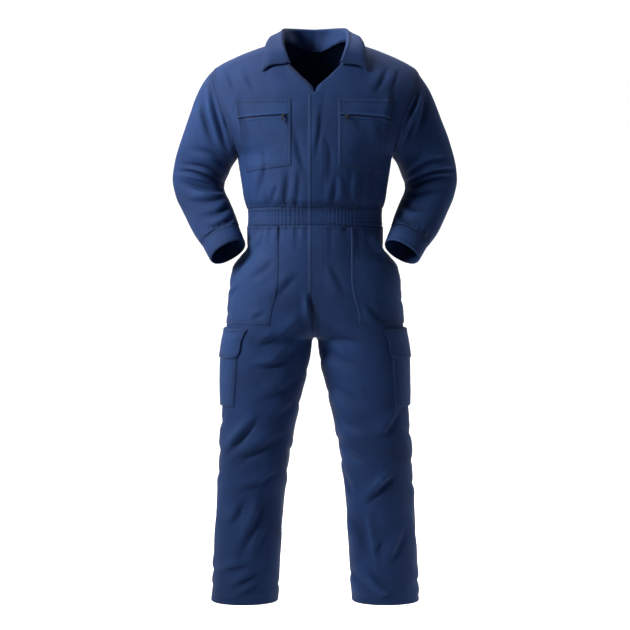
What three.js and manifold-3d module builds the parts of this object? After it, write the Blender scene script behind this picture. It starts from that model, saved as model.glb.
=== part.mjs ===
// A navy boiler suit, standing hollow in the form it has when it is worn.
// Millimetres, +Z up. The front faces -Y and the wearer's left is +X.
// The origin lies between the shoulders, level with the neck points, where the wearer carries the suit.
import Module from 'manifold-3d';
import * as THREE from 'three';
import { mergeVertices } from 'three/addons/utils/BufferGeometryUtils.js';

const wasm = await Module();
wasm.setup();

const cloth = 2.0; // wall of the main panels
const patchCloth = 1.6; // wall of what is sewn on a panel
const seamGap = 0.3; // between two pieces at a seam
const clearance = 0.35; // between a panel and what lies on it
const squareness = 2.3; // exponent of the body's cross-section
const legSquareness = 2.15;

const waistTop = -419;
const waistBottom = -464;
const neckDepth = -124; // bottom of the open V
const crotch = -757;
const hem = -1438;
const shoulderRounding = 150; // height over which the chest turns into the shoulder seam
const backNeckDip = 30;
const neckHalf = 78;
const armpit = -289;
const armpitRow = 4; // its row in bodiceRows
const collarEndRow = 11; // where the collar's front ends meet the neckline
const chestReach = 260; // from the centre front to the armhole
const frontGirth = 280; // round one front from the centre to the side seam
const legGirth = 345; // round one panel of a leg
const bandGirth = 235; // round a quarter of the waistband

const navy = 0x27407a;
const gunmetal = 0x4c525c;

// The shoulder line, seen from the front: its height at each distance from the centre.
const shoulderLine = [
  { x: 0, z: 24 },
  { x: 78, z: 14 },
  { x: 122, z: 1 },
  { x: 160, z: -12 },
  { x: 200, z: -28 },
  { x: 241, z: -48 },
  { x: 262, z: -62 },
  { x: 280, z: -78 },
];

// Horizontal sections of the bodice. half is the half width, beyond the armhole too.
const torso = [
  { z: -464, half: 174, front: 118, back: 103 },
  { z: -441, half: 173, front: 117, back: 102 },
  { z: -419, half: 174, front: 119, back: 104 },
  { z: -398, half: 181, front: 128, back: 112 },
  { z: -363, half: 187, front: 132, back: 116 },
  { z: -320, half: 195, front: 133, back: 120 },
  { z: -289, half: 200, front: 133, back: 123 },
  { z: -242, half: 238, front: 132, back: 127 },
  { z: -208, half: 262, front: 130, back: 128 },
  { z: -145, half: 284, front: 121, back: 129 },
  { z: -103, half: 294, front: 113, back: 128 },
  { z: -53, half: 300, front: 103, back: 125 },
  { z: 25, half: 300, front: 95, back: 119 },
];

// Rows of the bodice panels from the waist to the shoulder seam.
// inner ends at the centre front or the neckline, outer at the side seam or the armhole.
// follow says how far a row runs along the shoulder line instead of straight.
const bodiceRows = [
  { innerX: 0, innerZ: -419, outerX: 174, outerZ: -419, follow: 0 },
  { innerX: 0, innerZ: -398, outerX: 181, outerZ: -398, follow: 0 },
  { innerX: 0, innerZ: -363, outerX: 187, outerZ: -363, follow: 0 },
  { innerX: 0, innerZ: -326, outerX: 194, outerZ: -326, follow: 0 },
  { innerX: 0, innerZ: -289, outerX: 200, outerZ: -289, follow: 0 },
  { innerX: 0, innerZ: -258, outerX: 204, outerZ: -268, follow: 0.1 },
  { innerX: 0, innerZ: -226, outerX: 209, outerZ: -242, follow: 0.25 },
  { innerX: 0, innerZ: -192, outerX: 216, outerZ: -212, follow: 0.4 },
  { innerX: 0, innerZ: -158, outerX: 227, outerZ: -182, follow: 0.6 },
  { innerX: 2, innerZ: -124, outerX: 243, outerZ: -150, follow: 0.8 },
  { innerX: 34, innerZ: -89, outerX: 254, outerZ: -122, follow: 0.9 },
  { innerX: 66, innerZ: -54, outerX: 260, outerZ: -98, follow: 1 },
  { innerX: 76, innerZ: -26, outerX: 262, outerZ: -80, follow: 1 },
  { innerX: 79, innerZ: -6, outerX: 262.5, outerZ: -69, follow: 1 },
  { innerX: 79, innerZ: 7, outerX: 262.5, outerZ: -64, follow: 1 },
  { innerX: 78, innerZ: 14, outerX: 262, outerZ: -62, follow: 1 },
];

// Horizontal sections of the trousers. Where half is more than centre the two legs are one at x = 0.
const legs = [
  { z: -464, centre: 0, half: 174, front: 119, back: 105, shift: 0 },
  { z: -500, centre: 0, half: 174, front: 124, back: 116, shift: 0 },
  { z: -530, centre: 2, half: 171, front: 127, back: 126, shift: 0 },
  { z: -552, centre: 6, half: 178, front: 128, back: 130, shift: 0 },
  { z: -575, centre: 11, half: 193, front: 129, back: 134, shift: 0 },
  { z: -600, centre: 18, half: 196, front: 130, back: 137, shift: 0 },
  { z: -630, centre: 28, half: 190, front: 130, back: 138, shift: 0 },
  { z: -665, centre: 44, half: 178, front: 128, back: 138, shift: 0 },
  { z: -700, centre: 68, half: 158, front: 124, back: 134, shift: 0 },
  { z: -725, centre: 88, half: 141, front: 120, back: 128, shift: 0 },
  { z: -742, centre: 105, half: 126.5, front: 116, back: 123, shift: 0 },
  { z: -757, centre: 120, half: 114, front: 111, back: 117, shift: 0 },
  { z: -805, centre: 126, half: 112, front: 104, back: 107, shift: -2 },
  { z: -868, centre: 134, half: 106, front: 98, back: 99, shift: -5 },
  { z: -931, centre: 142, half: 100, front: 92, back: 93, shift: -8 },
  { z: -1057, centre: 157, half: 92.5, front: 85, back: 87, shift: -8 },
  { z: -1183, centre: 169, half: 88.7, front: 79, back: 83, shift: -2 },
  { z: -1310, centre: 177, half: 88.7, front: 77, back: 80, shift: 3 },
  { z: -1438, centre: 184, half: 88.2, front: 75, back: 78, shift: 6 },
];

// Rings of the sleeve after the armhole. Each has an outer and an inner end seen from the front,
// y is how far back its middle lies, depth its half depth and lean how far it tips to the front.
const sleeveRings = [
  { at: 0.0, outerX: 262, outerZ: -62, innerX: 200, innerZ: -289, y: 0, depth: 84, lean: 0 },
  { at: 0.14, outerX: 296, outerZ: -112, innerX: 208, innerZ: -300, y: 8, depth: 82, lean: 2 },
  { at: 0.28, outerX: 325, outerZ: -180, innerX: 216, innerZ: -312, y: 20, depth: 76, lean: 4 },
  { at: 0.42, outerX: 351, outerZ: -248, innerX: 226, innerZ: -334, y: 34, depth: 70, lean: 4 },
  { at: 0.52, outerX: 367, outerZ: -300, innerX: 234, innerZ: -352, y: 44, depth: 66, lean: 0 },
  { at: 0.6, outerX: 372, outerZ: -342, innerX: 235, innerZ: -364, y: 46, depth: 63, lean: -8 },
  { at: 0.68, outerX: 364, outerZ: -384, innerX: 231, innerZ: -378, y: 38, depth: 60, lean: -16 },
  { at: 0.78, outerX: 343, outerZ: -430, innerX: 218, innerZ: -406, y: 15, depth: 54, lean: -24 },
  { at: 0.9, outerX: 311, outerZ: -489, innerX: 202, innerZ: -448, y: -18, depth: 46, lean: -30 },
  { at: 1.0, outerX: 287, outerZ: -517, innerX: 197, innerZ: -466, y: -36, depth: 41, lean: -31 },
];
const cuffRings = [
  { at: 0.0, outerX: 287, outerZ: -517, innerX: 197, innerZ: -466, y: -36, depth: 41, lean: -31 },
  { at: 1.0, outerX: 264, outerZ: -555, innerX: 180, innerZ: -506, y: -62, depth: 40, lean: -31 },
];

// The collar from the back centre to the front end: neck seam, crest of the roll and edge of the fall.
const collarColumns = [
  { seamX: 0, seamY: 73, seamZ: -1, crestX: 0, crestY: 68, crestZ: 52, edgeX: 0, edgeY: 101, edgeZ: -10 },
  { seamX: 40, seamY: 62, seamZ: 4, crestX: 44, crestY: 59, crestZ: 53, edgeX: 62, edgeY: 92, edgeZ: -6 },
  { seamX: 68, seamY: 30, seamZ: 14, crestX: 76, crestY: 28, crestZ: 50, edgeX: 108, edgeY: 50, edgeZ: 5 },
  { seamX: 77, seamY: -4, seamZ: 14, crestX: 86, crestY: -8, crestZ: 38, edgeX: 124, edgeY: -8, edgeZ: 8 },
  { seamX: 78, seamY: -44, seamZ: -4, crestX: 86, crestY: -52, crestZ: 12, edgeX: 131, edgeY: -52, edgeZ: -16 },
  { seamX: 72, seamY: -72, seamZ: -32, crestX: 78, crestY: -82, crestZ: -20, edgeX: 135, edgeY: -76, edgeZ: -46 },
  { seamX: 66, seamY: -86, seamZ: -54, crestX: 68, crestY: -93, crestZ: -50, edgeX: 134, edgeY: -90, edgeZ: -74 },
];

// The largest folds: a line on the front (face -1) or the back (face 1), as seen from the front,
// with its half width and its height out of the cloth. Troughs are negative.
const folds = [
  { face: -1, fromX: -146, fromZ: -955, toX: -228, toZ: -1052, width: 13, height: -9 },
  { face: -1, fromX: -83, fromZ: -1005, toX: -149, toZ: -1036, width: 13, height: -8 },
  { face: -1, fromX: -131, fromZ: -1139, toX: -189, toZ: -1275, width: 16, height: 9 },
  { face: -1, fromX: -172, fromZ: -1341, toX: -245, toZ: -1354, width: 13, height: -8 },
  { face: -1, fromX: 74, fromZ: -1023, toX: 162, toZ: -1068, width: 13, height: -8 },
  { face: -1, fromX: 192, fromZ: -1093, toX: 127, toZ: -1169, width: 14, height: 8 },
  { face: -1, fromX: 99, fromZ: -1217, toX: 133, toZ: -1290, width: 13, height: -7 },
  { face: -1, fromX: 143, fromZ: -1353, toX: 188, toZ: -1393, width: 13, height: -7 },
  { face: -1, fromX: -104, fromZ: -552, toX: -157, toZ: -600, width: 15, height: -8 },
  { face: -1, fromX: -46, fromZ: -592, toX: -98, toZ: -650, width: 15, height: -8 },
  { face: -1, fromX: 46, fromZ: -600, toX: 92, toZ: -650, width: 15, height: -7 },
  { face: -1, fromX: -49, fromZ: -234, toX: -23, toZ: -342, width: 14, height: -7 },
  { face: -1, fromX: -146, fromZ: -400, toX: -128, toZ: -268, width: 14, height: -8 },
  { face: -1, fromX: 42, fromZ: -413, toX: 66, toZ: -310, width: 14, height: -8 },
  { face: -1, fromX: 140, fromZ: -400, toX: 125, toZ: -290, width: 14, height: -8 },
  { face: 1, fromX: -120, fromZ: -150, toX: -70, toZ: -330, width: 18, height: -9 },
  { face: 1, fromX: 122, fromZ: -140, toX: 78, toZ: -320, width: 18, height: -9 },
  { face: 1, fromX: -20, fromZ: -600, toX: -110, toZ: -720, width: 16, height: -9 },
  { face: 1, fromX: 24, fromZ: -590, toX: 118, toZ: -715, width: 16, height: -9 },
  { face: 1, fromX: -200, fromZ: -1010, toX: -90, toZ: -1060, width: 15, height: -9 },
  { face: 1, fromX: -110, fromZ: -1075, toX: -215, toZ: -1120, width: 14, height: -8 },
  { face: 1, fromX: 205, fromZ: -1000, toX: 100, toZ: -1050, width: 15, height: -9 },
  { face: 1, fromX: 110, fromZ: -1085, toX: 220, toZ: -1125, width: 14, height: -8 },
];
const sleeveFolds = [
  { at: 0.5, angle: 250, reach: 70, width: 0.035, height: -7 },
  { at: 0.6, angle: 205, reach: 80, width: 0.03, height: -9 },
  { at: 0.68, angle: 160, reach: 75, width: 0.03, height: -7 },
  { at: 0.2, angle: 95, reach: 60, width: 0.05, height: -8 },
];

// Gathers at the elastic waist, in waves round the whole body.
const gathers = { waves: 20, height: 2.6, bandHeight: 1.5, fade: 62, plainHalf: 44 };

const collar = { roll: 6.5, bow: 5, seamLift: 2.8 };
const chestPocket = {
  inner: 58,
  outer: 204,
  outerLow: 176,
  top: -147,
  bottom: -316,
  slope: -14,
  lift: 2.0,
  loose: 1.5,
};
const placket = { inner: -17, outer: 33, lift: 1.1 };
const flyEnd = { z: -668, curve: 58 };
const hipPocket = {
  inner: 91,
  innerBottom: 112,
  bottom: -716,
  mouthTopX: 141,
  mouthBottomZ: -556,
  open: 10,
  lift: 2.6,
};
const cargoPocket = { from: 128, to: 232, top: -742, bottom: -926, bulge: 7, lift: 1 };
const cargoFlap = { from: 124, to: 236, top: -727, bottom: -803, corner: 26, width: 215, lift: 1 };

// The zip slider and its pull, in the slider's own axes: x along the slit, y into the cloth, z up.
const slider = { x: 79, z: -190, length: 9.5, width: 6.2, thick: 2.6, off: 0.8, corner: 1.6 };
const bridge = { length: 6.4, post: 1.2, bar: 1.4, hole: 2.4 };
const pull = { ring: 2.25, eye: 1.25, ringWidth: 1.6, width: 4.6, thick: 1.2, length: 13.5, end: 1.6 };

const garment = new THREE.Group();
garment.name = 'boiler_suit';
const navyTwill = new THREE.MeshStandardMaterial({ color: navy, roughness: 0.85, metalness: 0 });
const darkMetal = new THREE.MeshStandardMaterial({ color: gunmetal, roughness: 0.4, metalness: 0.9 });

const clamp = (value, low, high) => Math.min(high, Math.max(low, value));
const mix = (a, b, t) => a + (b - a) * t;
const smooth = (low, high, value) => {
  const t = clamp((value - low) / (high - low), 0, 1);
  return t * t * (3 - 2 * t);
};

// A smooth curve through one column of a table, without overshoot between its rows.
function column(table, key, name, at) {
  const rising = table[table.length - 1][key] > table[0][key];
  const place = (row) => (rising ? row[key] : -row[key]);
  const want = rising ? at : -at;
  let i = 0;
  while (i < table.length - 2 && place(table[i + 1]) < want) i += 1;
  const slope = (j) => {
    const step = place(table[j + 1]) - place(table[j]);
    return (table[j + 1][name] - table[j][name]) / step;
  };
  const tangent = (j) => {
    if (j === 0) return slope(0);
    if (j === table.length - 1) return slope(j - 1);
    const before = slope(j - 1);
    const after = slope(j);
    if (before * after <= 0) return 0;
    return (2 * before * after) / (before + after);
  };
  const width = place(table[i + 1]) - place(table[i]);
  const t = clamp((want - place(table[i])) / width, 0, 1);
  const a = table[i][name];
  const b = table[i + 1][name];
  const startTangent = tangent(i) * width;
  const endTangent = tangent(i + 1) * width;
  const t2 = t * t;
  const t3 = t2 * t;
  const ends = a * (2 * t3 - 3 * t2 + 1) + b * (3 * t2 - 2 * t3);
  return ends + startTangent * (t3 - 2 * t2 + t) + endTangent * (t3 - t2);
}

const collarTable = collarColumns.map((row, index) => ({ ...row, at: index / (collarColumns.length - 1) }));
const bodiceTable = bodiceRows.map((row, index) => ({ ...row, at: index / (bodiceRows.length - 1) }));
const shoulderEnd = shoulderLine[shoulderLine.length - 1].x;
const shoulderHeight = (x) => column(shoulderLine, 'x', 'z', Math.min(Math.abs(x), shoulderEnd));

// A closed wall. point(u, v) lies on its outer face and thickness is taken off inward.
function wall(name, point, options) {
  const { columns, rows, thickness = cloth, round = false, material = navyTwill, parent = garment } = options;
  const { columnAt = (t) => t, rowAt = (t) => t, levelStart = false, levelEnd = false, firstRows } = options;
  const outer = [];
  const inner = [];
  const across = round ? columns : columns + 1;
  for (let j = 0; j <= rows; j += 1) {
    for (let i = 0; i < across; i += 1) {
      const u = columnAt(i / columns);
      const v = rowAt(j / rows);
      if (firstRows && j < 2) {
        const [outside, inside] = firstRows(u)[j];
        outer.push(outside);
        inner.push(inside);
        continue;
      }
      const place = point(u, v);
      const inward = facing(point, u, v);
      if ((levelStart && j === 0) || (levelEnd && j === rows)) inward.setZ(0).normalize();
      outer.push(place);
      inner.push(place.clone().addScaledVector(inward, -thickness));
    }
  }
  const points = outer.concat(inner);
  const half = outer.length;
  const index = [];
  const at = (i, j) => j * across + (i % across);
  const quad = (a, b, c, d) => index.push(a, b, c, a, c, d);
  for (let j = 0; j < rows; j += 1) {
    for (let i = 0; i < columns; i += 1) {
      quad(at(i, j), at(i + 1, j), at(i + 1, j + 1), at(i, j + 1));
      quad(half + at(i, j), half + at(i, j + 1), half + at(i + 1, j + 1), half + at(i + 1, j));
    }
  }
  for (let i = 0; i < columns; i += 1) {
    quad(at(i + 1, 0), at(i, 0), half + at(i, 0), half + at(i + 1, 0));
    quad(at(i, rows), at(i + 1, rows), half + at(i + 1, rows), half + at(i, rows));
  }
  if (!round) {
    for (let j = 0; j < rows; j += 1) {
      quad(at(0, j), at(0, j + 1), half + at(0, j + 1), half + at(0, j));
      quad(at(columns, j + 1), at(columns, j), half + at(columns, j), half + at(columns, j + 1));
    }
  }
  return solid(name, points, index, material, parent);
}

// Turns points and triangles into a named mesh, with its faces out.
function solid(name, points, index, material, parent) {
  let volume = 0;
  for (let i = 0; i < index.length; i += 3) {
    const [a, b, c] = [points[index[i]], points[index[i + 1]], points[index[i + 2]]];
    volume += a.dot(b.clone().cross(c)) / 6;
  }
  const order = volume < 0 ? index.slice().reverse() : index;
  const geometry = new THREE.BufferGeometry();
  geometry.setAttribute('position', new THREE.Float32BufferAttribute(points.flatMap((p) => [p.x, p.y, p.z]), 3));
  geometry.setIndex(order);
  geometry.computeVertexNormals();
  const mesh = new THREE.Mesh(geometry, material);
  mesh.name = name;
  parent.add(mesh);
  return mesh;
}

// A surface point(u, v) with the hand that turns its normal outward.
function surface(hand, point) {
  return Object.assign(point, { hand });
}

// The outward normal of point(u, v).
function facing(point, u, v) {
  const step = 0.002;
  const alongU = point(u + step, v).sub(point(u - step, v));
  const alongV = point(u, v + step).sub(point(u, v - step));
  return alongU.cross(alongV).normalize().multiplyScalar(point.hand);
}

// A point moved out along the normal of the face that it lies on.
function lifted(point, u, v, distance) {
  return point(u, v).add(facing(point, u, v).multiplyScalar(distance));
}

const signedPower = (value, power) => Math.sign(value) * Math.abs(value) ** power;

// How far folds and waist gathers move the cloth out at a point of a face.
function relief(x, y, z) {
  let height = 0;
  for (const fold of folds) {
    if (y * fold.face > 0) {
      const along = new THREE.Vector2(fold.toX - fold.fromX, fold.toZ - fold.fromZ);
      const offset = new THREE.Vector2(x - fold.fromX, z - fold.fromZ);
      const length = along.length();
      const t = offset.dot(along) / (length * length);
      const off = offset.cross(along) / length;
      const taper = smooth(-0.15, 0.25, t) * smooth(1.15, 0.7, t);
      const sideFade = smooth(8, 40, Math.abs(y));
      height += fold.height * taper * sideFade * Math.exp(-0.5 * (off / fold.width) ** 2);
    }
  }
  return height;
}

function gatherWave(x, y, z) {
  const angle = Math.atan2(y, x);
  const distance = z - waistTop;
  const past = Math.max(z > (waistTop + waistBottom) / 2 ? distance : waistBottom - z, 0);
  const size = mix(gathers.bandHeight, gathers.height * Math.exp(-past / gathers.fade), smooth(0, 14, past));
  const plain = y < 0 ? smooth(gathers.plainHalf - 12, gathers.plainHalf + 12, Math.abs(x)) : 1;
  const uneven = 0.75 + 0.25 * Math.sin(3 * angle + 1);
  return size * plain * uneven * Math.cos(gathers.waves * angle + 0.8 * Math.sin(5 * angle));
}

// A point of the bodice. face is -1 at the front and 1 at the back, side is -1 or 1.
function bodiceBase(side, face, u, v) {
  const get = (name) => column(bodiceTable, 'at', name, clamp(v, 0, 1));
  const innerX = face < 0 ? get('innerX') : 0;
  const backTop = smooth(0.55, 1, v);
  const innerZ = face < 0 ? get('innerZ') : mix(get('innerZ'), shoulderHeight(0), smooth(0.55, 1, v));
  const outerX = get('outerX');
  const outerZ = get('outerZ');
  const follow = get('follow');
  const middleZ = mix(innerZ, outerZ, 0.5);
  const half = column(torso, 'z', 'half', middleZ);
  const angleOf = (x) => Math.asin(clamp(x / half, -1, 1) ** (squareness / 2));
  const isSide = outerZ <= armpit + 1e-6;
  const outerAngle = isSide ? Math.PI / 2 : angleOf(outerX);
  const innerAngle = innerX > 0 ? angleOf(innerX) : 0;
  const angle = mix(innerAngle, outerAngle, u);
  const reach = isSide ? outerX : half;
  const x = reach * signedPower(Math.sin(angle), 2 / squareness);
  const t = clamp((x - innerX) / Math.max(outerX - innerX, 1), -0.2, 1.2);
  const straight = mix(innerZ, outerZ, t);
  const line = mix(shoulderHeight(innerX), shoulderHeight(outerX), t);
  const dip = face > 0 ? backNeckDip * backTop * (1 - smooth(0, neckHalf, Math.abs(x))) : 0;
  const z = straight + follow * (shoulderHeight(x) - line) - dip;
  const depth = column(torso, 'z', face < 0 ? 'front' : 'back', z);
  const drop = clamp((shoulderHeight(x) - z) / shoulderRounding, 0, 1);
  const rounding = Math.sqrt(1 - (1 - drop) ** 2);
  const curved = face * depth * rounding * signedPower(Math.cos(angle), 2 / squareness);
  const y = v > 0.9 ? face * Math.max(face * curved, seamGap / 2) : curved;
  return new THREE.Vector3(side * x, y, z);
}

function bodicePoint(side, face, u, v) {
  const base = bodiceBase(side, face, u, v);
  const fade = smooth(0, 0.06, 1 - u) * smooth(0, 0.1, 1 - v);
  const out = relief(base.x, base.y, base.z) * fade + gatherWave(base.x, base.y, base.z);
  const away = new THREE.Vector3(base.x, base.y * 2, 0).normalize();
  return base.addScaledVector(away, out);
}

function bodiceSurface(side, face) {
  return surface(-side * face, (u, v) => bodicePoint(side, face, u, v));
}

// A point on the waistband, at an angle from the wearer's left side towards the back.
function bandPoint(angle, z) {
  const half = column(torso, 'z', 'half', z);
  const depth = column(torso, 'z', Math.sin(angle) < 0 ? 'front' : 'back', z);
  const x = half * signedPower(Math.cos(angle), 2 / squareness);
  const y = depth * signedPower(Math.sin(angle), 2 / squareness);
  const away = new THREE.Vector3(x, y * 2, 0).normalize();
  return new THREE.Vector3(x, y, z).addScaledVector(away, gatherWave(x, y, z));
}

// The angle round a leg section at which the centre plane cuts it, or 0 below the crotch.
function cutAngle(z) {
  const centre = column(legs, 'z', 'centre', z);
  const half = column(legs, 'z', 'half', z);
  return Math.acos(clamp((centre - seamGap / 2) / half, 0, 1) ** (legSquareness / 2));
}

// A point of a leg: angle 0 at the inseam, 90 at the front, 180 at the outer seam, 270 at the back.
function legPoint(side, angle, z) {
  const get = (name) => column(legs, 'z', name, z);
  const front = Math.sin(angle) > 0;
  const x = get('centre') - get('half') * signedPower(Math.cos(angle), 2 / legSquareness);
  const depth = front ? get('front') : get('back');
  const y = get('shift') - depth * signedPower(Math.sin(angle), 2 / legSquareness);
  const place = new THREE.Vector3(side * x, y, z);
  const middle = column(legs, 'z', 'centre', Math.max(z, crotch)) * 0.9;
  const away = new THREE.Vector3(side * (x - (z < crotch ? get('centre') : middle)), y * 1.6, 0).normalize();
  const hemFade = smooth(0, 25, z - hem);
  return place.addScaledVector(away, relief(place.x, y, z) * hemFade + gatherWave(place.x, y, z));
}

function trouserPoint(side, face) {
  const edge = (seamGap / 2 / legGirth) * Math.PI;
  return surface(side * face, (u, v) => {
    const z = mix(waistBottom - seamGap / 2, hem, v);
    const start = cutAngle(z) + (z < crotch ? edge : 0);
    const turn = mix(start, Math.PI - edge, u);
    return legPoint(side, face < 0 ? turn : 2 * Math.PI - turn, z);
  });
}

// The rows of the trousers are closest round the crotch.
const trouserRows = (t) => {
  const crotchAt = (waistBottom - crotch) / (waistBottom - hem);
  if (t < 0.4) return crotchAt * (1 - (1 - t / 0.4) ** 1.5);
  return mix(crotchAt, 1, (t - 0.4) / 0.6);
};

// The armhole runs from the armpit up the front edge, over the shoulder and down the back edge.
const armpitAt = armpitRow / (bodiceRows.length - 1);

function armholePoint(side, turn) {
  const lap = turn - Math.floor(turn);
  const front = lap < 0.5;
  const t = front ? lap * 2 : 2 - lap * 2;
  return bodicePoint(side, front ? -1 : 1, 1, mix(armpitAt, 1, t));
}

// The sleeve's first two rows: the seam along the bodice's own edge, and the turn into the sleeve.
function armholeRims(side, turn) {
  const lap = turn - Math.floor(turn);
  const front = lap < 0.5;
  const v = mix(armpitAt, 1, front ? lap * 2 : 2 - lap * 2);
  const place = armholePoint(side, turn);
  const normal = facing(bodiceSurface(side, front ? -1 : 1), 1, v);
  const along = armholePoint(side, turn + 0.003).sub(armholePoint(side, turn - 0.003));
  const away = along.cross(normal).multiplyScalar(side).normalize();
  const seam = place.clone().addScaledVector(away, seamGap);
  const sleeve = surface(-side, (a, b) => sleevePoint(side, a, b));
  const turned = facing(sleeve, turn, 0.02).add(normal).add(away.clone().multiplyScalar(-0.5)).normalize();
  const turnPlace = place.clone().addScaledVector(away, seamGap * 1.6).addScaledVector(normal, seamGap);
  return [
    [seam, seam.clone().addScaledVector(normal, -cloth)],
    [turnPlace, turnPlace.clone().addScaledVector(turned, -cloth)],
  ];
}

function sleeveFrame(table, at) {
  const get = (name) => column(table, 'at', name, clamp(at, 0, 1));
  const outer = new THREE.Vector3(get('outerX'), get('y'), get('outerZ'));
  const inner = new THREE.Vector3(get('innerX'), get('y'), get('innerZ'));
  const middle = outer.clone().add(inner).multiplyScalar(0.5);
  const across = outer.clone().sub(inner).multiplyScalar(0.5);
  const lean = THREE.MathUtils.degToRad(get('lean'));
  const flat = new THREE.Vector3(-across.z, 0, across.x).normalize();
  const front = new THREE.Vector3(0, -Math.cos(lean), 0).addScaledVector(flat, -Math.sin(lean));
  return { middle, across, front: front.multiplyScalar(get('depth')) };
}

// A point of a ring: turn 0 at the armpit side, 0.25 at the front, 0.5 outside, 0.75 behind.
function ringPoint(side, table, turn, at) {
  const { middle, across, front } = sleeveFrame(table, at);
  const angle = turn * 2 * Math.PI;
  const place = middle.clone();
  place.addScaledVector(across, -signedPower(Math.cos(angle), 0.92));
  place.addScaledVector(front, signedPower(Math.sin(angle), 0.92));
  place.x *= side;
  return place;
}

function sleevePoint(side, turn, at) {
  const ring = ringPoint(side, sleeveRings, turn, at);
  const seam = armholePoint(side, turn);
  const start = ringPoint(side, sleeveRings, turn, 0);
  const join = 1 - smooth(0, 0.42, at);
  const place = ring.add(seam.sub(start).multiplyScalar(join));
  let out = 0;
  for (const fold of sleeveFolds) {
    const apart = Math.abs((turn - Math.floor(turn)) * 360 - fold.angle);
    const reach = smooth(fold.reach, fold.reach * 0.3, Math.min(apart, 360 - apart));
    out += fold.height * reach * Math.exp(-0.5 * ((at - fold.at) / fold.width) ** 2);
  }
  const { middle } = sleeveFrame(sleeveRings, at);
  middle.x *= side;
  const away = place.clone().sub(middle).normalize();
  return place.addScaledVector(away, out);
}

const sides = [
  [1, 'left'],
  [-1, 'right'],
];

function addBodice() {
  const sideTrim = seamGap / 2 / frontGirth;
  for (const [side, word] of sides) {
    wall(`bodice_front_${word}`, bodiceSurface(side, -1), {
      levelStart: true,
      columns: 10,
      rows: sideRows + armholeRows,
      columnAt: (t) => mix(sideTrim, 1 - sideTrim, t),
      rowAt: bodiceRowAt,
    });
  }
  const back = surface(-1, (u, v) => bodicePoint(u < 0 ? -1 : 1, 1, Math.abs(u), v));
  wall('bodice_back', back, {
    levelStart: true,
    columns: 20,
    rows: sideRows + armholeRows,
    columnAt: (t) => mix(sideTrim - 1, 1 - sideTrim, t),
    rowAt: bodiceRowAt,
  });
}

// Rows of the bodice are closest under the shoulder seam.
const sideRows = 5;
const armholeRows = 12;
const sleeveRows = 15;

function armholeShare(t) {
  return 1 - (1 - t) ** 1.2;
}

function bodiceRowAt(t) {
  const row = t * (sideRows + armholeRows);
  if (row <= sideRows) return armpitAt * (row / sideRows);
  return mix(armpitAt, 1, armholeShare((row - sideRows) / armholeRows));
}

// The columns of a sleeve start at the rows of the bodice.
function sleeveColumnAt(t) {
  const front = t <= 0.5;
  const share = armholeShare(front ? t * 2 : 2 - t * 2);
  return front ? share / 2 : 1 - share / 2;
}

function addWaistband() {
  const low = waistBottom + seamGap / 2;
  const high = waistTop - seamGap / 2;
  const trim = (seamGap / 2 / bandGirth) * (Math.PI / 2);
  const pieces = [
    ['waistband_front_left', -Math.PI / 2 + trim, -trim, 20],
    ['waistband_front_right', -Math.PI + trim, -Math.PI / 2 - trim, 20],
    ['waistband_back', trim, Math.PI - trim, 40],
  ];
  for (const [name, from, to, columns] of pieces) {
    const band = surface(1, (u, v) => bandPoint(mix(from, to, u), mix(low, high, v)));
    wall(name, band, { columns, rows: 2, levelStart: true, levelEnd: true });
  }
}

function addTrousers() {
  for (const [side, word] of sides) {
    const options = { columns: 10, rows: 24, rowAt: trouserRows, levelStart: true, levelEnd: true };
    wall(`trouser_front_${word}`, trouserPoint(side, -1), options);
    wall(`trouser_back_${word}`, trouserPoint(side, 1), options);
  }
}

function addSleeves() {
  for (const [side, word] of sides) {
    const sleeve = surface(-side, (u, v) => sleevePoint(side, u, v));
    const cuff = surface(-side, (u, v) => ringPoint(side, cuffRings, u, v));
    wall(`sleeve_${word}`, sleeve, {
      columns: 2 * armholeRows,
      rows: sleeveRows,
      round: true,
      rowAt: (t) => clamp((t * sleeveRows - 1) / (sleeveRows - 1), 0, 1),
      columnAt: sleeveColumnAt,
      firstRows: (u) => armholeRims(side, u),
    });
    wall(`cuff_${word}`, cuff, {
      columns: 2 * armholeRows,
      columnAt: sleeveColumnAt,
      rows: 2,
      round: true,
      rowAt: (t) => mix(0.008, 1, t),
    });
  }
}

// The (u, v) of a surface at which a point seen from the front at x and z lies.
function locate(point, x, z, guess) {
  let [u, v] = guess.map((value) => clamp(value, 0, 1));
  const step = 0.001;
  for (let i = 0; i < 9; i += 1) {
    const here = point(u, v);
    const du = point(u + step, v).sub(here).divideScalar(step);
    const dv = point(u, v + step).sub(here).divideScalar(step);
    const turn = du.x * dv.z - dv.x * du.z;
    const offX = x - here.x;
    const offZ = z - here.z;
    u = clamp(u + (offX * dv.z - dv.x * offZ) / turn, 0, 1);
    v = clamp(v + (du.x * offZ - offX * du.z) / turn, 0, 1);
  }
  return [u, v];
}

// A point of the chest seen from the front at x and z, moved out.
function onChest(x, z, distance) {
  const side = x < 0 ? -1 : 1;
  const chest = bodiceSurface(side, -1);
  const [u, v] = locate(chest, x, z, [Math.abs(x) / chestReach, (z - waistTop) / -waistTop]);
  return lifted(chest, u, v, distance);
}

// A point of the waistband's front at x and z, moved out.
function onBand(x, z, distance) {
  const half = column(torso, 'z', 'half', z);
  const band = surface(1, (angle, height) => bandPoint(angle, height));
  const angle = -Math.acos(signedPower(x / half, squareness / 2));
  return lifted(band, angle, z, distance);
}

// A point of the trousers at an angle round the leg and a height, moved out.
function onLeg(side, angle, z, distance) {
  const leg = surface(-side, (turn, down) => legPoint(side, turn, -down));
  return lifted(leg, angle, -z, distance);
}

// The angle round the leg at which its front is seen at x.
function legAngle(x, z) {
  const centre = column(legs, 'z', 'centre', z);
  const half = column(legs, 'z', 'half', z);
  return Math.acos(signedPower((centre - Math.abs(x)) / half, legSquareness / 2));
}

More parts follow.
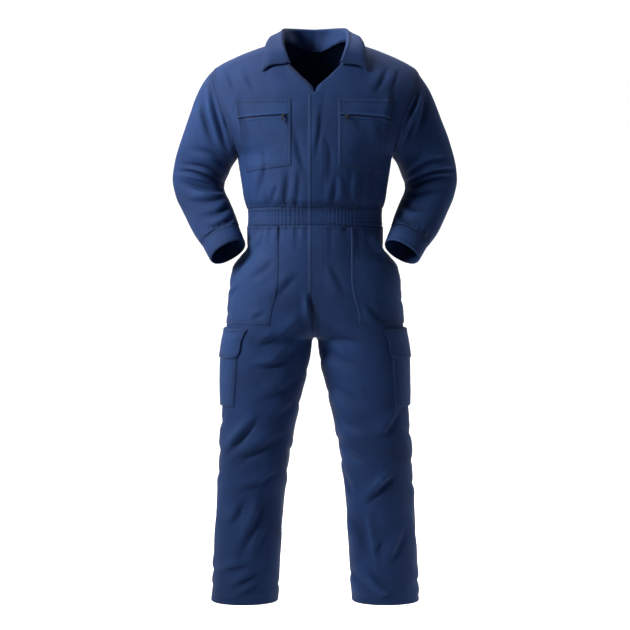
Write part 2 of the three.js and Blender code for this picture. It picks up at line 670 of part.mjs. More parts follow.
const onPatch = clearance + patchCloth; // outer face of what lies on a panel

function addPlacket() {
  const neckEdge = (x) => (x < 2 ? neckDepth - 5 + (x - 2) * 0.4 : neckDepth - 5 + (x - 2) * 1.05);
  const upper = surface(1, (u, v) => {
    const x = mix(placket.inner, placket.outer, u);
    return onChest(x, mix(waistTop + seamGap / 2, neckEdge(x), v), onPatch + placket.lift);
  });
  wall('front_placket', upper, { columns: 4, rows: 12, thickness: patchCloth, levelStart: true });
  const middle = surface(1, (u, v) => {
    const x = mix(placket.inner, placket.outer, u);
    return onBand(x, mix(waistBottom + seamGap / 2, waistTop - seamGap / 2, v), onPatch + placket.lift);
  });
  wall('waistband_lap', middle, { columns: 4, rows: 2, thickness: patchCloth, levelStart: true, levelEnd: true });
  const lower = surface(-1, (u, v) => {
    const z = mix(waistBottom - seamGap / 2, flyEnd.z, v);
    const past = clamp((flyEnd.z + flyEnd.curve - z) / flyEnd.curve, 0, 1);
    const width = mix(9, placket.outer - placket.inner, Math.sqrt(1 - past * past));
    const x = mix(placket.inner, placket.inner + width, u);
    return onLeg(x < 0 ? -1 : 1, legAngle(x, z), z, onPatch + placket.lift);
  });
  wall('fly', lower, { columns: 4, rows: 12, thickness: patchCloth, levelStart: true });
}

function addChestPockets() {
  for (const [side, word] of sides) {
    const patch = surface(side, (u, v) => {
      const z = mix(chestPocket.bottom + chestPocket.slope * u, chestPocket.top, v);
      const x = mix(chestPocket.inner, mix(chestPocket.outerLow, chestPocket.outer, v), u);
      const swell = Math.sin(Math.PI * clamp(u, 0, 1)) * Math.sin(Math.PI * clamp(v, 0, 1));
      return onChest(side * x, z, onPatch + chestPocket.lift + chestPocket.loose * swell);
    });
    wall(`chest_pocket_${word}`, patch, { columns: 7, rows: 7, thickness: patchCloth });
  }
}

// How far the hip pocket stands off the trouser front: most at its slanted mouth.
function hipPocketLoose(u, z) {
  const mouth = smooth(0.25, 1, u) * smooth(-466, -510, z) * smooth(-640, -560, z);
  const body = Math.sin(Math.PI * clamp(u, 0, 1)) * smooth(-466, -540, z) * smooth(-712, -620, z);
  const side = smooth(0.6, 1, u) * smooth(-560, -590, z) * 0.4;
  return hipPocket.lift + hipPocket.open * Math.max(mouth * (1 - side), body * 0.7);
}

function hipPocketAngle(u, z) {
  const innerX = hipPocket.inner + (hipPocket.innerBottom - hipPocket.inner) * smooth(-600, hipPocket.bottom, z);
  const slant = clamp((waistBottom - z) / (waistBottom - hipPocket.mouthBottomZ), 0, 1);
  const outer = mix(legAngle(hipPocket.mouthTopX, waistBottom), Math.PI - 0.006, slant ** 1.5);
  return mix(legAngle(innerX, z), outer, u);
}

function addHipPockets() {
  for (const [side, word] of sides) {
    const patch = surface(-side, (u, v) => {
      const z = mix(waistBottom - 1, hipPocket.bottom, v);
      return onLeg(side, hipPocketAngle(u, z), z, onPatch + hipPocketLoose(u, z));
    });
    wall(`hip_pocket_${word}`, patch, { columns: 8, rows: 10, thickness: patchCloth });
  }
}

// How far the cargo pocket stands off the leg.
function cargoLoose(angle, z) {
  const across = clamp((angle - cargoPocket.from) / (cargoPocket.to - cargoPocket.from), 0, 1);
  const down = clamp((z - cargoPocket.bottom) / (cargoPocket.top - cargoPocket.bottom), 0, 1);
  const round = Math.sin(Math.PI * across) ** 0.6 * Math.sin(Math.PI * mix(0.12, 0.86, down)) ** 0.7;
  return cargoPocket.lift + cargoPocket.bulge * round;
}

function addCargoPockets() {
  for (const [side, word] of sides) {
    const pocket = surface(-side, (u, v) => {
      const degrees = mix(cargoPocket.from, cargoPocket.to, u);
      const z = mix(cargoPocket.top, cargoPocket.bottom, v);
      return onLeg(side, THREE.MathUtils.degToRad(degrees), z, onPatch + cargoLoose(degrees, z));
    });
    wall(`cargo_pocket_${word}`, pocket, { columns: 10, rows: 6, thickness: patchCloth });
    const flap = surface(-side, (u, v) => {
      const degrees = mix(cargoFlap.from, cargoFlap.to, u);
      const fromEnd = Math.min(u, 1 - u) * cargoFlap.width;
      const past = 1 - clamp(fromEnd / cargoFlap.corner, 0, 1);
      const low = cargoFlap.bottom + cargoFlap.corner * (1 - Math.sqrt(1 - past * past));
      const z = mix(cargoFlap.top, low, v);
      const over = onPatch * 2 + cargoLoose(degrees, Math.min(z, cargoPocket.top)) + cargoFlap.lift;
      return onLeg(side, THREE.MathUtils.degToRad(degrees), z, over);
    });
    wall(`cargo_flap_${word}`, flap, { columns: 12, rows: 4, thickness: patchCloth });
  }
}

// The neckline from the front end of the collar, over the shoulder seam, to the back centre.
function neckPoint(side, share) {
  const shoulderShare = 0.52;
  if (share < shoulderShare) {
    const v = mix(collarEndRow / (bodiceRows.length - 1), 1, share / shoulderShare);
    return bodicePoint(side, -1, 0, v);
  }
  const x = mix(neckHalf, 0, (share - shoulderShare) / (1 - shoulderShare));
  const last = bodiceRows[bodiceRows.length - 1];
  const half = column(torso, 'z', 'half', (shoulderHeight(0) + last.outerZ) / 2);
  const angle = (reach) => Math.asin((reach / half) ** (squareness / 2));
  return bodicePoint(side, 1, angle(x) / angle(last.outerX), 1);
}

function collarPoint(u, v) {
  const side = u < 0.5 ? 1 : -1;
  const share = 1 - Math.abs(u - 0.5) * 2;
  const at = 1 - share;
  const get = (name) => column(collarTable, 'at', name, clamp(at, 0, 1));
  const seam = neckPoint(side, clamp(share, 0, 1));
  seam.z += collar.seamLift;
  const crest = new THREE.Vector3(side * get('crestX'), get('crestY'), get('crestZ'));
  const edge = new THREE.Vector3(side * get('edgeX'), get('edgeY'), get('edgeZ'));
  const outward = edge.clone().sub(seam).setZ(0).normalize();
  const rise = crest.clone().sub(seam);
  const path = new THREE.CatmullRomCurve3([
    seam,
    seam.clone().addScaledVector(rise, 0.55).addScaledVector(outward, -collar.roll * 0.5),
    crest.clone().addScaledVector(outward, -collar.roll).add(new THREE.Vector3(0, 0, -collar.roll * 0.9)),
    crest,
    crest.clone().addScaledVector(outward, collar.roll).add(new THREE.Vector3(0, 0, -collar.roll * 0.8)),
    crest.clone().lerp(edge, 0.6).addScaledVector(outward, collar.bow).add(new THREE.Vector3(0, 0, collar.bow)),
    edge,
  ]);
  return path.getPoint(clamp(v, 0, 1));
}

function addCollar() {
  const sheet = surface(-1, collarPoint);
  wall('collar', sheet, { columns: 26, rows: 9, columnAt: (t) => mix(0.001, 0.999, t) });
}

// Joins extruded pieces into one closed geometry.
function joined(geometries) {
  const solids = geometries.map((geometry) => {
    const plain = geometry.clone();
    plain.deleteAttribute('normal');
    plain.deleteAttribute('uv');
    const merged = mergeVertices(plain, 1e-4);
    return new wasm.Manifold(
      new wasm.Mesh({
        numProp: 3,
        vertProperties: Float32Array.from(merged.attributes.position.array),
        triVerts: Uint32Array.from(merged.index.array),
      }),
    );
  });
  const whole = solids.reduce((sum, next) => sum.add(next)).getMesh();
  const geometry = new THREE.BufferGeometry();
  geometry.setAttribute('position', new THREE.BufferAttribute(Float32Array.from(whole.vertProperties), 3));
  geometry.setIndex(Array.from(whole.triVerts));
  geometry.computeVertexNormals();
  return geometry;
}

function roundedPlate(width, height, corner) {
  const [x, y] = [width / 2, height / 2];
  const shape = new THREE.Shape();
  shape.moveTo(-x + corner, -y);
  shape.lineTo(x - corner, -y);
  shape.quadraticCurveTo(x, -y, x, -y + corner);
  shape.lineTo(x, y - corner);
  shape.quadraticCurveTo(x, y, x - corner, y);
  shape.lineTo(-x + corner, y);
  shape.quadraticCurveTo(-x, y, -x, y - corner);
  shape.lineTo(-x, -y + corner);
  shape.quadraticCurveTo(-x, -y, -x + corner, -y);
  return shape;
}

function extruded(shape, depth) {
  return new THREE.ExtrudeGeometry(shape, { depth, bevelEnabled: false, curveSegments: 4 });
}

const barOut = -(slider.off + slider.thick + bridge.hole + bridge.bar / 2);

function sliderGeometry() {
  const body = extruded(roundedPlate(slider.length, slider.width, slider.corner), slider.thick);
  body.rotateX(Math.PI / 2).translate(0, -slider.off, 0);
  const arch = new THREE.Shape();
  const [foot, top] = [-(slider.off + slider.thick - 0.3), barOut - bridge.bar / 2];
  const half = bridge.length / 2;
  arch.moveTo(-half, foot);
  arch.lineTo(-half, top + 0.6);
  arch.lineTo(-half + 0.6, top);
  arch.lineTo(half - 0.6, top);
  arch.lineTo(half, top + 0.6);
  arch.lineTo(half, foot);
  arch.lineTo(half - bridge.post, foot);
  arch.lineTo(half - bridge.post, barOut + bridge.bar / 2);
  arch.lineTo(-half + bridge.post, barOut + bridge.bar / 2);
  arch.lineTo(-half + bridge.post, foot);
  const loop = extruded(arch, bridge.bar).translate(0, 0, -bridge.bar / 2);
  return joined([body, loop]);
}

function pullGeometry() {
  const eye = new THREE.Shape();
  eye.absarc(0, 0, pull.ring, 0, 2 * Math.PI);
  const hole = new THREE.Path();
  hole.absarc(0, 0, pull.eye, 0, 2 * Math.PI, true);
  eye.holes.push(hole);
  const ring = new THREE.ExtrudeGeometry(eye, { depth: pull.ringWidth, bevelEnabled: false, curveSegments: 8 });
  ring.rotateY(Math.PI / 2).translate(-pull.ringWidth / 2, barOut, 0);
  const tab = extruded(roundedPlate(pull.width, pull.length, pull.end), pull.thick);
  tab.rotateX(Math.PI / 2).translate(0, barOut + pull.thick / 2, -pull.eye - 0.45 - pull.length / 2);
  return joined([ring, tab]);
}

function addSliders() {
  for (const [side, word] of sides) {
    const off = onPatch + chestPocket.lift + chestPocket.loose * 0.35;
    const [from, to] = [-1, 1].map((step) => onChest(side * slider.x + step, slider.z, off));
    const place = new THREE.Group();
    place.position.copy(onChest(side * slider.x, slider.z, off));
    place.rotation.z = Math.atan2(to.y - from.y, to.x - from.x);
    garment.add(place);
    for (const [name, geometry] of [['zip_slider', sliderGeometry()], ['zip_pull', pullGeometry()]]) {
      const mesh = new THREE.Mesh(geometry, darkMetal);
      mesh.name = `${name}_${word}`;
      place.add(mesh);
    }
  }
}

addBodice();
addCollar();
addPlacket();
addWaistband();
addTrousers();
addSleeves();
addChestPockets();
addHipPockets();
addCargoPockets();
addSliders();
export default garment;
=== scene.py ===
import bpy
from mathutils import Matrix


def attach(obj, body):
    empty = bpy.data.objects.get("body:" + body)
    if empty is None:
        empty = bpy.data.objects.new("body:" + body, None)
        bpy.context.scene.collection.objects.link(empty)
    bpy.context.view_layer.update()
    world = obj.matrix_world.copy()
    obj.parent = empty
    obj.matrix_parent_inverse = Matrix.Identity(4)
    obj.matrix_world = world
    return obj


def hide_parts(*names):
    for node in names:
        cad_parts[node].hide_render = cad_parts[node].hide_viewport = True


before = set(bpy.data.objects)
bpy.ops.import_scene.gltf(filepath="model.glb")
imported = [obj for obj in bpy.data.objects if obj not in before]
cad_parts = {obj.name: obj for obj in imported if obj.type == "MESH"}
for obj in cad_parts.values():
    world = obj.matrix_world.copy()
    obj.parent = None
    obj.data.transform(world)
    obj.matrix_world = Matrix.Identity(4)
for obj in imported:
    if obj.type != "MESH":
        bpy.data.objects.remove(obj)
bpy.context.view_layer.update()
print("frame loaded")

# A navy boiler suit in its worn form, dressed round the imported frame.
# Lengths in the tables are millimetres, +Z up, front towards -Y. Meshes are made in metres.
import math

import bpy
import numpy as np
from mathutils import Vector

mm = 0.001
waistTop = -419
waistBottom = -464
crotch = -757
hem = -1438
seamGap = 0.04
squareness = 2.3
legSquareness = 2.15
armpit = -289
armpitRow = 4
collarRow = 11
bodiceRowCount = 16

cloth = {
    "thick": 1.2,  # one layer of twill, drawn a little thick
    "doubled": 2.6,  # hem, cuff and collar
    "spacing": 4.2,  # mesh step on the large panels
    "fineSpacing": 3.0,  # mesh step on pockets and bands
    "edgeSteps": (0, 0.9, 2.0, 3.1, 4.5, 6.2, 7.6, 8.8, 10.4, 13.4),  # closer steps next to a seam
    "roll": 1.1,  # how far an edge turns down into its seam
    "pucker": 0.42,  # ripple along a sewn edge
    "puckerPitch": 13.5, "puckerReach": 8,
    "rollWide": 1.4,
    "seamRidge": 0.3,  # the seam allowance that shows through
    # The stitch rows are grooved, and the same rows are painted darker as shade.
    "rowDeep": 0.4, "rowWide": 1.1, "rowsAt": (3, 8.7),  # groove along the rows of stitches
    "hemDeep": 25,
}


def curveTable(names, rows, at=False):
    table = {name: np.array(column, float) for name, column in zip(names.split(), zip(*rows))}
    if at:
        table["at"] = np.linspace(0, 1, len(rows))
    return table


# The shoulder line seen from the front.
shoulderLine = curveTable("x z", [
    (0, 24), (78, 14), (122, 1), (160, -12), (200, -28), (241, -48), (262, -62), (280, -78),
])

# Horizontal sections of the bodice: half width and depth to the front and back.
torso = curveTable("z half front back", [
    (-464, 174, 118, 103), (-441, 173, 117, 102), (-419, 174, 119, 104), (-398, 181, 128, 112),
    (-363, 187, 132, 116), (-320, 195, 133, 120), (-289, 200, 133, 123), (-242, 238, 132, 127),
    (-208, 262, 130, 128), (-145, 284, 121, 129), (-103, 294, 113, 128), (-53, 300, 103, 125),
    (25, 300, 95, 119),
])

# Rows of the bodice panels from the waist to the shoulder seam.
bodiceTable = curveTable("innerX innerZ outerX outerZ follow", [
    (0, -419, 174, -419, 0), (0, -398, 181, -398, 0), (0, -363, 187, -363, 0), (0, -326, 194, -326, 0),
    (0, -289, 200, -289, 0), (0, -258, 204, -268, 0.1), (0, -226, 209, -242, 0.25),
    (0, -192, 216, -212, 0.4), (0, -158, 227, -182, 0.6), (2, -124, 243, -150, 0.8),
    (34, -89, 254, -122, 0.9), (66, -54, 260, -98, 1), (76, -26, 262, -80, 1), (79, -6, 262.5, -69, 1),
    (79, 7, 262.5, -64, 1), (78, 14, 262, -62, 1),
], at=True)

# Horizontal sections of the trousers.
legs = curveTable("z centre half front back shift", [
    (-464, 0, 174, 119, 105, 0), (-500, 0, 174, 124, 116, 0), (-530, 2, 171, 127, 126, 0),
    (-552, 6, 178, 128, 130, 0), (-575, 11, 193, 129, 134, 0), (-600, 18, 196, 130, 137, 0),
    (-630, 28, 190, 130, 138, 0), (-665, 44, 178, 128, 138, 0), (-700, 68, 158, 124, 134, 0),
    (-725, 88, 141, 120, 128, 0), (-742, 105, 126.5, 116, 123, 0), (-757, 120, 114, 111, 117, 0),
    (-805, 126, 112, 104, 107, -2), (-868, 134, 106, 98, 99, -5), (-931, 142, 100, 92, 93, -8),
    (-1057, 157, 92.5, 85, 87, -8), (-1183, 169, 88.7, 79, 83, -2), (-1310, 177, 88.7, 77, 80, 3),
    (-1438, 184, 88.2, 75, 78, 6),
])

# Rings of the sleeve and of the cuff.
ringNames = "at outerX outerZ innerX innerZ y depth lean"
sleeveRings = curveTable(ringNames, [
    (0.0, 262, -62, 200, -289, 0, 84, 0), (0.14, 296, -112, 208, -300, 8, 82, 2),
    (0.28, 325, -180, 216, -312, 20, 76, 4), (0.42, 351, -248, 226, -334, 34, 70, 4),
    (0.52, 367, -300, 234, -352, 44, 66, 0), (0.6, 372, -342, 235, -364, 46, 63, -8),
    (0.68, 364, -384, 231, -378, 38, 60, -16), (0.78, 343, -430, 218, -406, 15, 54, -24),
    (0.9, 311, -489, 202, -448, -18, 46, -30), (1.0, 287, -517, 197, -466, -36, 41, -31),
])
cuffRings = curveTable(ringNames, [
    (0.0, 287, -517, 197, -466, -36, 41, -31), (1.0, 264, -555, 180, -506, -62, 40, -31),
])

# The collar from the back centre to its front end: crest of the roll and edge of the fall.
collarTable = curveTable("crestX crestY crestZ edgeX edgeY edgeZ", [
    (0, 68, 52, 0, 101, -10), (44, 59, 53, 62, 92, -6), (76, 28, 50, 108, 50, 5), (86, -8, 38, 124, -8, 8),
    (86, -52, 12, 131, -52, -16), (78, -82, -20, 135, -76, -46), (68, -93, -50, 134, -90, -74),
], at=True)


def mix(a, b, t):
    return a + (b - a) * t


def ease(low, high, value):
    t = np.clip((value - low) / (high - low), 0, 1)
    return t * t * (3 - 2 * t)


def power(value, exponent):
    return np.sign(value) * np.abs(value) ** exponent


def unit(vectors):
    return vectors / np.maximum(np.linalg.norm(vectors, axis=-1, keepdims=True), 1e-9)


def xyz(x, y, z):
    return np.stack(np.broadcast_arrays(x, y, z), -1).astype(float)


def bell(value, width):
    return np.exp(-(value / width) ** 2)


def curveAt(table, key, name, at):
    # A smooth curve through one column of a table, without overshoot between its rows.
    x, y = table[key], table[name]
    if x[-1] < x[0]:
        x, y = x[::-1], y[::-1]
    slope = np.diff(y) / np.diff(x)
    tangent = np.concatenate([slope[:1], np.zeros(len(x) - 2), slope[-1:]])
    before, after = slope[:-1], slope[1:]
    agree = before * after > 0
    tangent[1:-1][agree] = (2 * before * after)[agree] / (before + after)[agree]
    at = np.asarray(at, float)
    i = np.clip(np.searchsorted(x, at, side="right") - 1, 0, len(x) - 2)
    width = x[i + 1] - x[i]
    t = np.clip((at - x[i]) / width, 0, 1)
    square, cube = t * t, t * t * t
    ends = y[i] * (2 * cube - 3 * square + 1) + y[i + 1] * (3 * square - 2 * cube)
    return ends + width * (tangent[i] * (cube - 2 * square + t) + tangent[i + 1] * (cube - square))


def shoulderHeight(x):
    return curveAt(shoulderLine, "x", "z", np.minimum(np.abs(x), 280))


# The bodice: u from the centre front or back to the side, v from the waist to the shoulder seam.
def bodiceForm(side, face, u, v):
    at = np.clip(v, 0, 1)
    outerX, outerZ, follow = (curveAt(bodiceTable, "at", name, at) for name in ("outerX", "outerZ", "follow"))
    innerX = curveAt(bodiceTable, "at", "innerX", at) if face < 0 else 0 * at
    innerZ = curveAt(bodiceTable, "at", "innerZ", at)
    if face > 0:
        innerZ = mix(innerZ, shoulderHeight(0), ease(0.55, 1, at))
    half = curveAt(torso, "z", "half", (innerZ + outerZ) / 2)
    below = outerZ <= armpit + 1e-6
    turn = lambda x: np.arcsin(np.clip(x / half, 0, 1) ** (squareness / 2))
    angle = mix(turn(innerX), np.where(below, np.pi / 2, turn(outerX)), u)
    x = np.where(below, outerX, half) * power(np.sin(angle), 2 / squareness)
    t = np.clip((x - innerX) / np.maximum(outerX - innerX, 1), -0.2, 1.2)
    line = mix(shoulderHeight(innerX), shoulderHeight(outerX), t)
    dip = 30 * ease(0.55, 1, at) * (1 - ease(0, 78, np.abs(x))) if face > 0 else 0
    z = mix(innerZ, outerZ, t) + follow * (shoulderHeight(x) - line) - dip
    depth = curveAt(torso, "z", "front" if face < 0 else "back", z)
    drop = np.clip((shoulderHeight(x) - z) / 150, 0, 1)
    curved = depth * np.sqrt(1 - (1 - drop) ** 2) * power(np.cos(angle), 2 / squareness)
    y = face * np.where(at > 0.9, np.maximum(curved, seamGap / 2), curved)
    return xyz(side * x, y, z)


def bandForm(angle, z):
    half = curveAt(torso, "z", "half", z)
    front = np.sin(angle) < 0
    depth = np.where(front, curveAt(torso, "z", "front", z), curveAt(torso, "z", "back", z))
    exponent = 2 / squareness
    return xyz(half * power(np.cos(angle), exponent), depth * power(np.sin(angle), exponent), z)


# A leg: angle 0 at the inseam, a quarter at the front, a half at the outer seam.
def legForm(side, angle, z):
    centre, half, shift = (curveAt(legs, "z", name, z) for name in ("centre", "half", "shift"))
    front = np.sin(angle) > 0
    depth = np.where(front, curveAt(legs, "z", "front", z), curveAt(legs, "z", "back", z))
    x = centre - half * power(np.cos(angle), 2 / legSquareness)
    return xyz(side * x, shift - depth * power(np.sin(angle), 2 / legSquareness), z)


def legAngle(x, z):
    centre, half = curveAt(legs, "z", "centre", z), curveAt(legs, "z", "half", z)
    return np.arccos(np.clip(power((centre - np.abs(x)) / half, legSquareness / 2), -1, 1))


def trouserForm(side, face, u, v):
    z = mix(waistBottom - seamGap / 2, hem, v)
    centre, half = curveAt(legs, "z", "centre", z), curveAt(legs, "z", "half", z)
    cut = np.arccos(np.clip((centre - seamGap / 2) / half, 0, 1) ** (legSquareness / 2))
    turn = mix(cut + np.where(z < crotch, 0.0014, 0), np.pi - 0.0014, u)
    return legForm(side, turn if face < 0 else 2 * np.pi - turn, z)


def sleeveFrame(table, at):
    get = lambda name: curveAt(table, "at", name, np.clip(at, 0, 1))
    outer = xyz(get("outerX"), get("y"), get("outerZ"))
    inner = xyz(get("innerX"), get("y"), get("innerZ"))
    across = (outer - inner) / 2
    lean = np.radians(get("lean"))[..., None]
    flat = unit(xyz(-across[..., 2], 0, across[..., 0]))
    front = np.array([0, -1, 0]) * np.cos(lean) - flat * np.sin(lean)
    return (outer + inner) / 2, across, front * get("depth")[..., None]


def ringForm(side, table, turn, at):
    middle, across, front = sleeveFrame(table, at)
    angle = turn * 2 * np.pi
    place = middle - across * power(np.cos(angle), 0.92)[..., None]
    place = place + front * power(np.sin(angle), 0.92)[..., None]
    return place * np.array([side, 1, 1])


def armholeForm(side, turn):
    lap = turn - np.floor(turn)
    share = np.where(lap < 0.5, lap * 2, 2 - lap * 2)
    v = mix(armpitRow / (bodiceRowCount - 1), 1, share)
    ones = np.ones_like(v)
    front, back = bodiceForm(side, -1, ones, v), bodiceForm(side, 1, ones, v)
    return np.where((lap < 0.5)[..., None], front, back)


def sleeveForm(side, turn, at):
    join = 1 - ease(0, 0.42, at)[..., None]
    start = ringForm(side, sleeveRings, turn, np.zeros_like(at))
    return ringForm(side, sleeveRings, turn, at) + (armholeForm(side, turn) - start) * join


def throughPoints(points, t):
    # A smooth curve through points (rows of control points) at t from 0 to 1.
    first = 2 * points[..., :1, :] - points[..., 1:2, :]
    last = 2 * points[..., -1:, :] - points[..., -2:-1, :]
    points = np.concatenate([first, points, last], -2)
    place = np.clip(t, 0, 1) * (points.shape[-2] - 3)
    i = np.minimum(place.astype(int), points.shape[-2] - 4)
    w = (place - i)[..., None]
    p = [np.take_along_axis(points, (i + k)[..., None, None], -2)[..., 0, :] for k in range(4)]
    even = (-p[0] + 3 * p[1] - 3 * p[2] + p[3]) * w ** 3
    return 0.5 * (2 * p[1] + (p[2] - p[0]) * w + (2 * p[0] - 5 * p[1] + 4 * p[2] - p[3]) * w ** 2 + even)


collarShape = {"roll": 6.5, "bow": 5, "seamLift": 1.2}
neck = {"shoulderShare": 0.52, "halfWidth": 78, "torsoHalf": 300, "shoulderTip": 262}


def neckForm(side, share):
    # The neck edge: up the front to the shoulder point, then round the back.
    shoulderShare = neck["shoulderShare"]
    v = mix(collarRow / (bodiceRowCount - 1), 1, np.clip(share / shoulderShare, 0, 1))
    front = bodiceForm(side, -1, 0 * v, v)
    x = mix(neck["halfWidth"], 0, np.clip((share - shoulderShare) / (1 - shoulderShare), 0, 1))
    turn = lambda reach: np.arcsin((reach / neck["torsoHalf"]) ** (squareness / 2))
    back = bodiceForm(side, 1, turn(x) / turn(neck["shoulderTip"]), np.ones_like(v))
    return np.where((share < shoulderShare)[..., None], front, back)


def collarForm(u, v):
    u, v = np.broadcast_arrays(u, v)
    side = np.where(u < 0.5, 1.0, -1.0)
    at = np.abs(u - 0.5) * 2
    get = lambda name: curveAt(collarTable, "at", name, np.clip(at, 0, 1))
    share = np.clip(1 - at, 0, 1)
    seam = np.where((u < 0.5)[..., None], neckForm(1, share), neckForm(-1, share))
    seam = seam + np.array([0, 0, collarShape["seamLift"]])
    crest = xyz(side * get("crestX"), get("crestY"), get("crestZ"))
    edge = xyz(side * get("edgeX"), get("edgeY"), get("edgeZ"))
    out = unit((edge - seam) * np.array([1, 1, 0]))
    up = np.array([0, 0, 1.0])
    roll, bow = collarShape["roll"], collarShape["bow"]
    path = np.stack([
        seam, mix(seam, crest, 0.55) - out * roll * 0.5, crest - out * roll - up * roll * 0.9, crest,
        crest + out * roll - up * roll * 0.8, mix(crest, edge, 0.6) + out * bow + up * bow, edge,
    ], -2)
    return throughPoints(path, v)


def outward(form, hand, u, v):
    # The cloth's outward normal, from points a small step apart.
    step = 0.002
    alongU = form(u + step, v) - form(u - step, v)
    alongV = form(u, v + step) - form(u, v - step)
    return hand * unit(np.cross(alongU, alongV))


# Creases seen from the front: half width, depth, then x and z of each point. A negative depth is a ridge.
bodiceCreases = [
    (9, 4.5, -54, -210, -43, -263, -33, -305, -22, -347), (9, 4.2, -130, -263, -125, -321, -141, -373, -151, -408),
    (7, 3, -91, -358, -101, -384, -114, -410), (8, 3, -67, -337, -70, -373, -78, -410),
    (7, 3.2, -41, -326, -41, -368, -46, -413), (7, 2.6, 17, -168, 12, -231, 3, -295),
    (7, 2.8, -227, -68, -214, -95, -201, -121), (8, 2.8, -183, -68, -167, -95, -149, -124),
    (12, 4, -191, -126, -183, -179, -167, -237, -162, -295), (8, 2.8, -172, -316, -162, -363, -164, -408),
    (7, 3.4, 51, -347, 49, -384, 41, -416), (7, 3.2, 70, -337, 78, -373, 72, -413),
    (8, 3, 122, -326, 112, -379, 107, -413), (9, 3.2, 154, -295, 143, -363, 141, -410),
    (10, 3.6, 164, -210, 170, -263, 164, -326), (10, 3.6, 201, -116, 196, -168, 185, -226),
    (8, 2.6, 180, -68, 170, -100, 149, -132), (7, 2.4, 212, -68, 206, -95, 193, -126),
    (8, 2.2, 28, -242, 38, -295, 33, -358),
]
legCreases = [
    (9, 8, -141, -952, -172, -989, -204, -1026, -230, -1055),
    (12, 5.5, -62, -997, -120, -1023, -178, -1055, -220, -1073), (5, 1.5, -178, -1070, -199, -1076),
    (9, 2.2, -125, -1120, -159, -1131, -199, -1138), (10, 7, -128, -1136, -138, -1194, -162, -1247, -196, -1320),
    (9, 3.2, -183, -1173, -199, -1210, -225, -1233), (8, 4.5, -172, -1336, -209, -1344, -249, -1357),
    (8, 4.5, -149, -1354, -178, -1373, -214, -1394), (8, 3, -141, -1378, -172, -1402, -209, -1418),
    (9, 2.4, -120, -1241, -141, -1283, -151, -1326), (8, 2.2, -93, -1099, -120, -1110, -141, -1126),
    (11, 4.5, 64, -1020, 112, -1047, 164, -1070), (9, 7, 201, -1105, 175, -1131, 133, -1176),
    (12, -3.5, 133, -1189, 146, -1273, 159, -1347), (10, 4.5, 93, -1212, 114, -1252, 138, -1299),
    (6, 1.8, 175, -1268, 164, -1286, 154, -1302), (8, 5, 138, -1349, 164, -1373, 193, -1397),
    (6, 2.8, 204, -1402, 185, -1415, 164, -1420), (9, 2.4, 91, -1347, 112, -1378, 149, -1410),
    (10, 3, 235, -1241, 217, -1289, 191, -1336), (10, 2.5, 51, -1089, 80, -1120, 96, -1162),
    (10, 1.6, -101, -552, -130, -579, -162, -605), (11, 1.5, -43, -589, -72, -618, -101, -655),
    (7, 2.2, -167, -539, -183, -565, -199, -592), (6, 2, -191, -618, -201, -634, -214, -650),
    (7, 1.2, -125, -684, -143, -694, -164, -705), (8, 2.6, -96, -744, -114, -757, -141, -771),
    (7, 2.4, -72, -810, -114, -821, -162, -823), (12, 4, -20, -705, -51, -736, -99, -768),
    (12, 3.2, -30, -763, -67, -794, -120, -831), (12, 3, -41, -852, -83, -884, -141, -910),
    (10, 2.6, -51, -920, -78, -942, -114, -957), (6, 4.5, -12, -636, -8, -679, -4, -731),
    (11, 1.3, 38, -563, 59, -600, 78, -642), (11, 3.2, 17, -710, 54, -742, 96, -773),
    (11, 2.6, 28, -778, 64, -805, 117, -826), (9, 2.4, 133, -663, 159, -694, 196, -721),
    (12, 2.8, 38, -863, 80, -899, 138, -931), (9, 2, 54, -952, 91, -978, 128, -989),
    (10, 3, 217, -936, 196, -978, 164, -1010),
]
sleeveCreases = [
    (7, 7, -267, -89, -259, -145, -246, -197, -233, -242, -220, -279),
    (6, 3, -246, -116, -235, -163, -222, -210, -209, -258),
    (9, 3.6, -288, -126, -283, -174, -267, -226, -246, -268),
    (6, 5.5, -364, -322, -314, -326, -267, -342, -227, -360),
    (6, 4, -346, -305, -304, -310, -262, -323, -225, -347), (7, 4, -351, -352, -304, -363, -267, -373, -227, -374),
    (7, 2.8, -222, -387, -262, -400, -304, -400, -335, -398),
    (8, 2.6, -325, -268, -283, -274, -246, -295, -220, -326), (8, 2.4, -217, -410, -246, -431, -288, -437),
    (7, 2.2, -206, -442, -241, -463, -272, -468), (6, 1.6, -246, -484, -267, -494, -288, -496),
    (6, 3, 227, -92, 229, -137, 222, -179), (7, 6.5, 264, -79, 259, -137, 238, -184, 222, -231),
    (7, 4.2, 254, -184, 243, -221, 225, -263), (9, 3.4, 285, -126, 277, -179, 254, -237),
    (6, 5.5, 367, -319, 322, -321, 270, -337, 230, -358), (6, 3.4, 354, -337, 320, -339, 275, -352, 233, -368),
    (7, 3.2, 343, -289, 301, -295, 259, -316, 227, -342), (7, 3.6, 343, -373, 306, -375, 264, -384, 230, -388),
    (8, 2.8, 222, -405, 254, -421, 296, -425), (7, 2.4, 212, -437, 243, -458, 280, -463),
    (6, 1.6, 243, -484, 264, -497, 285, -499),
]
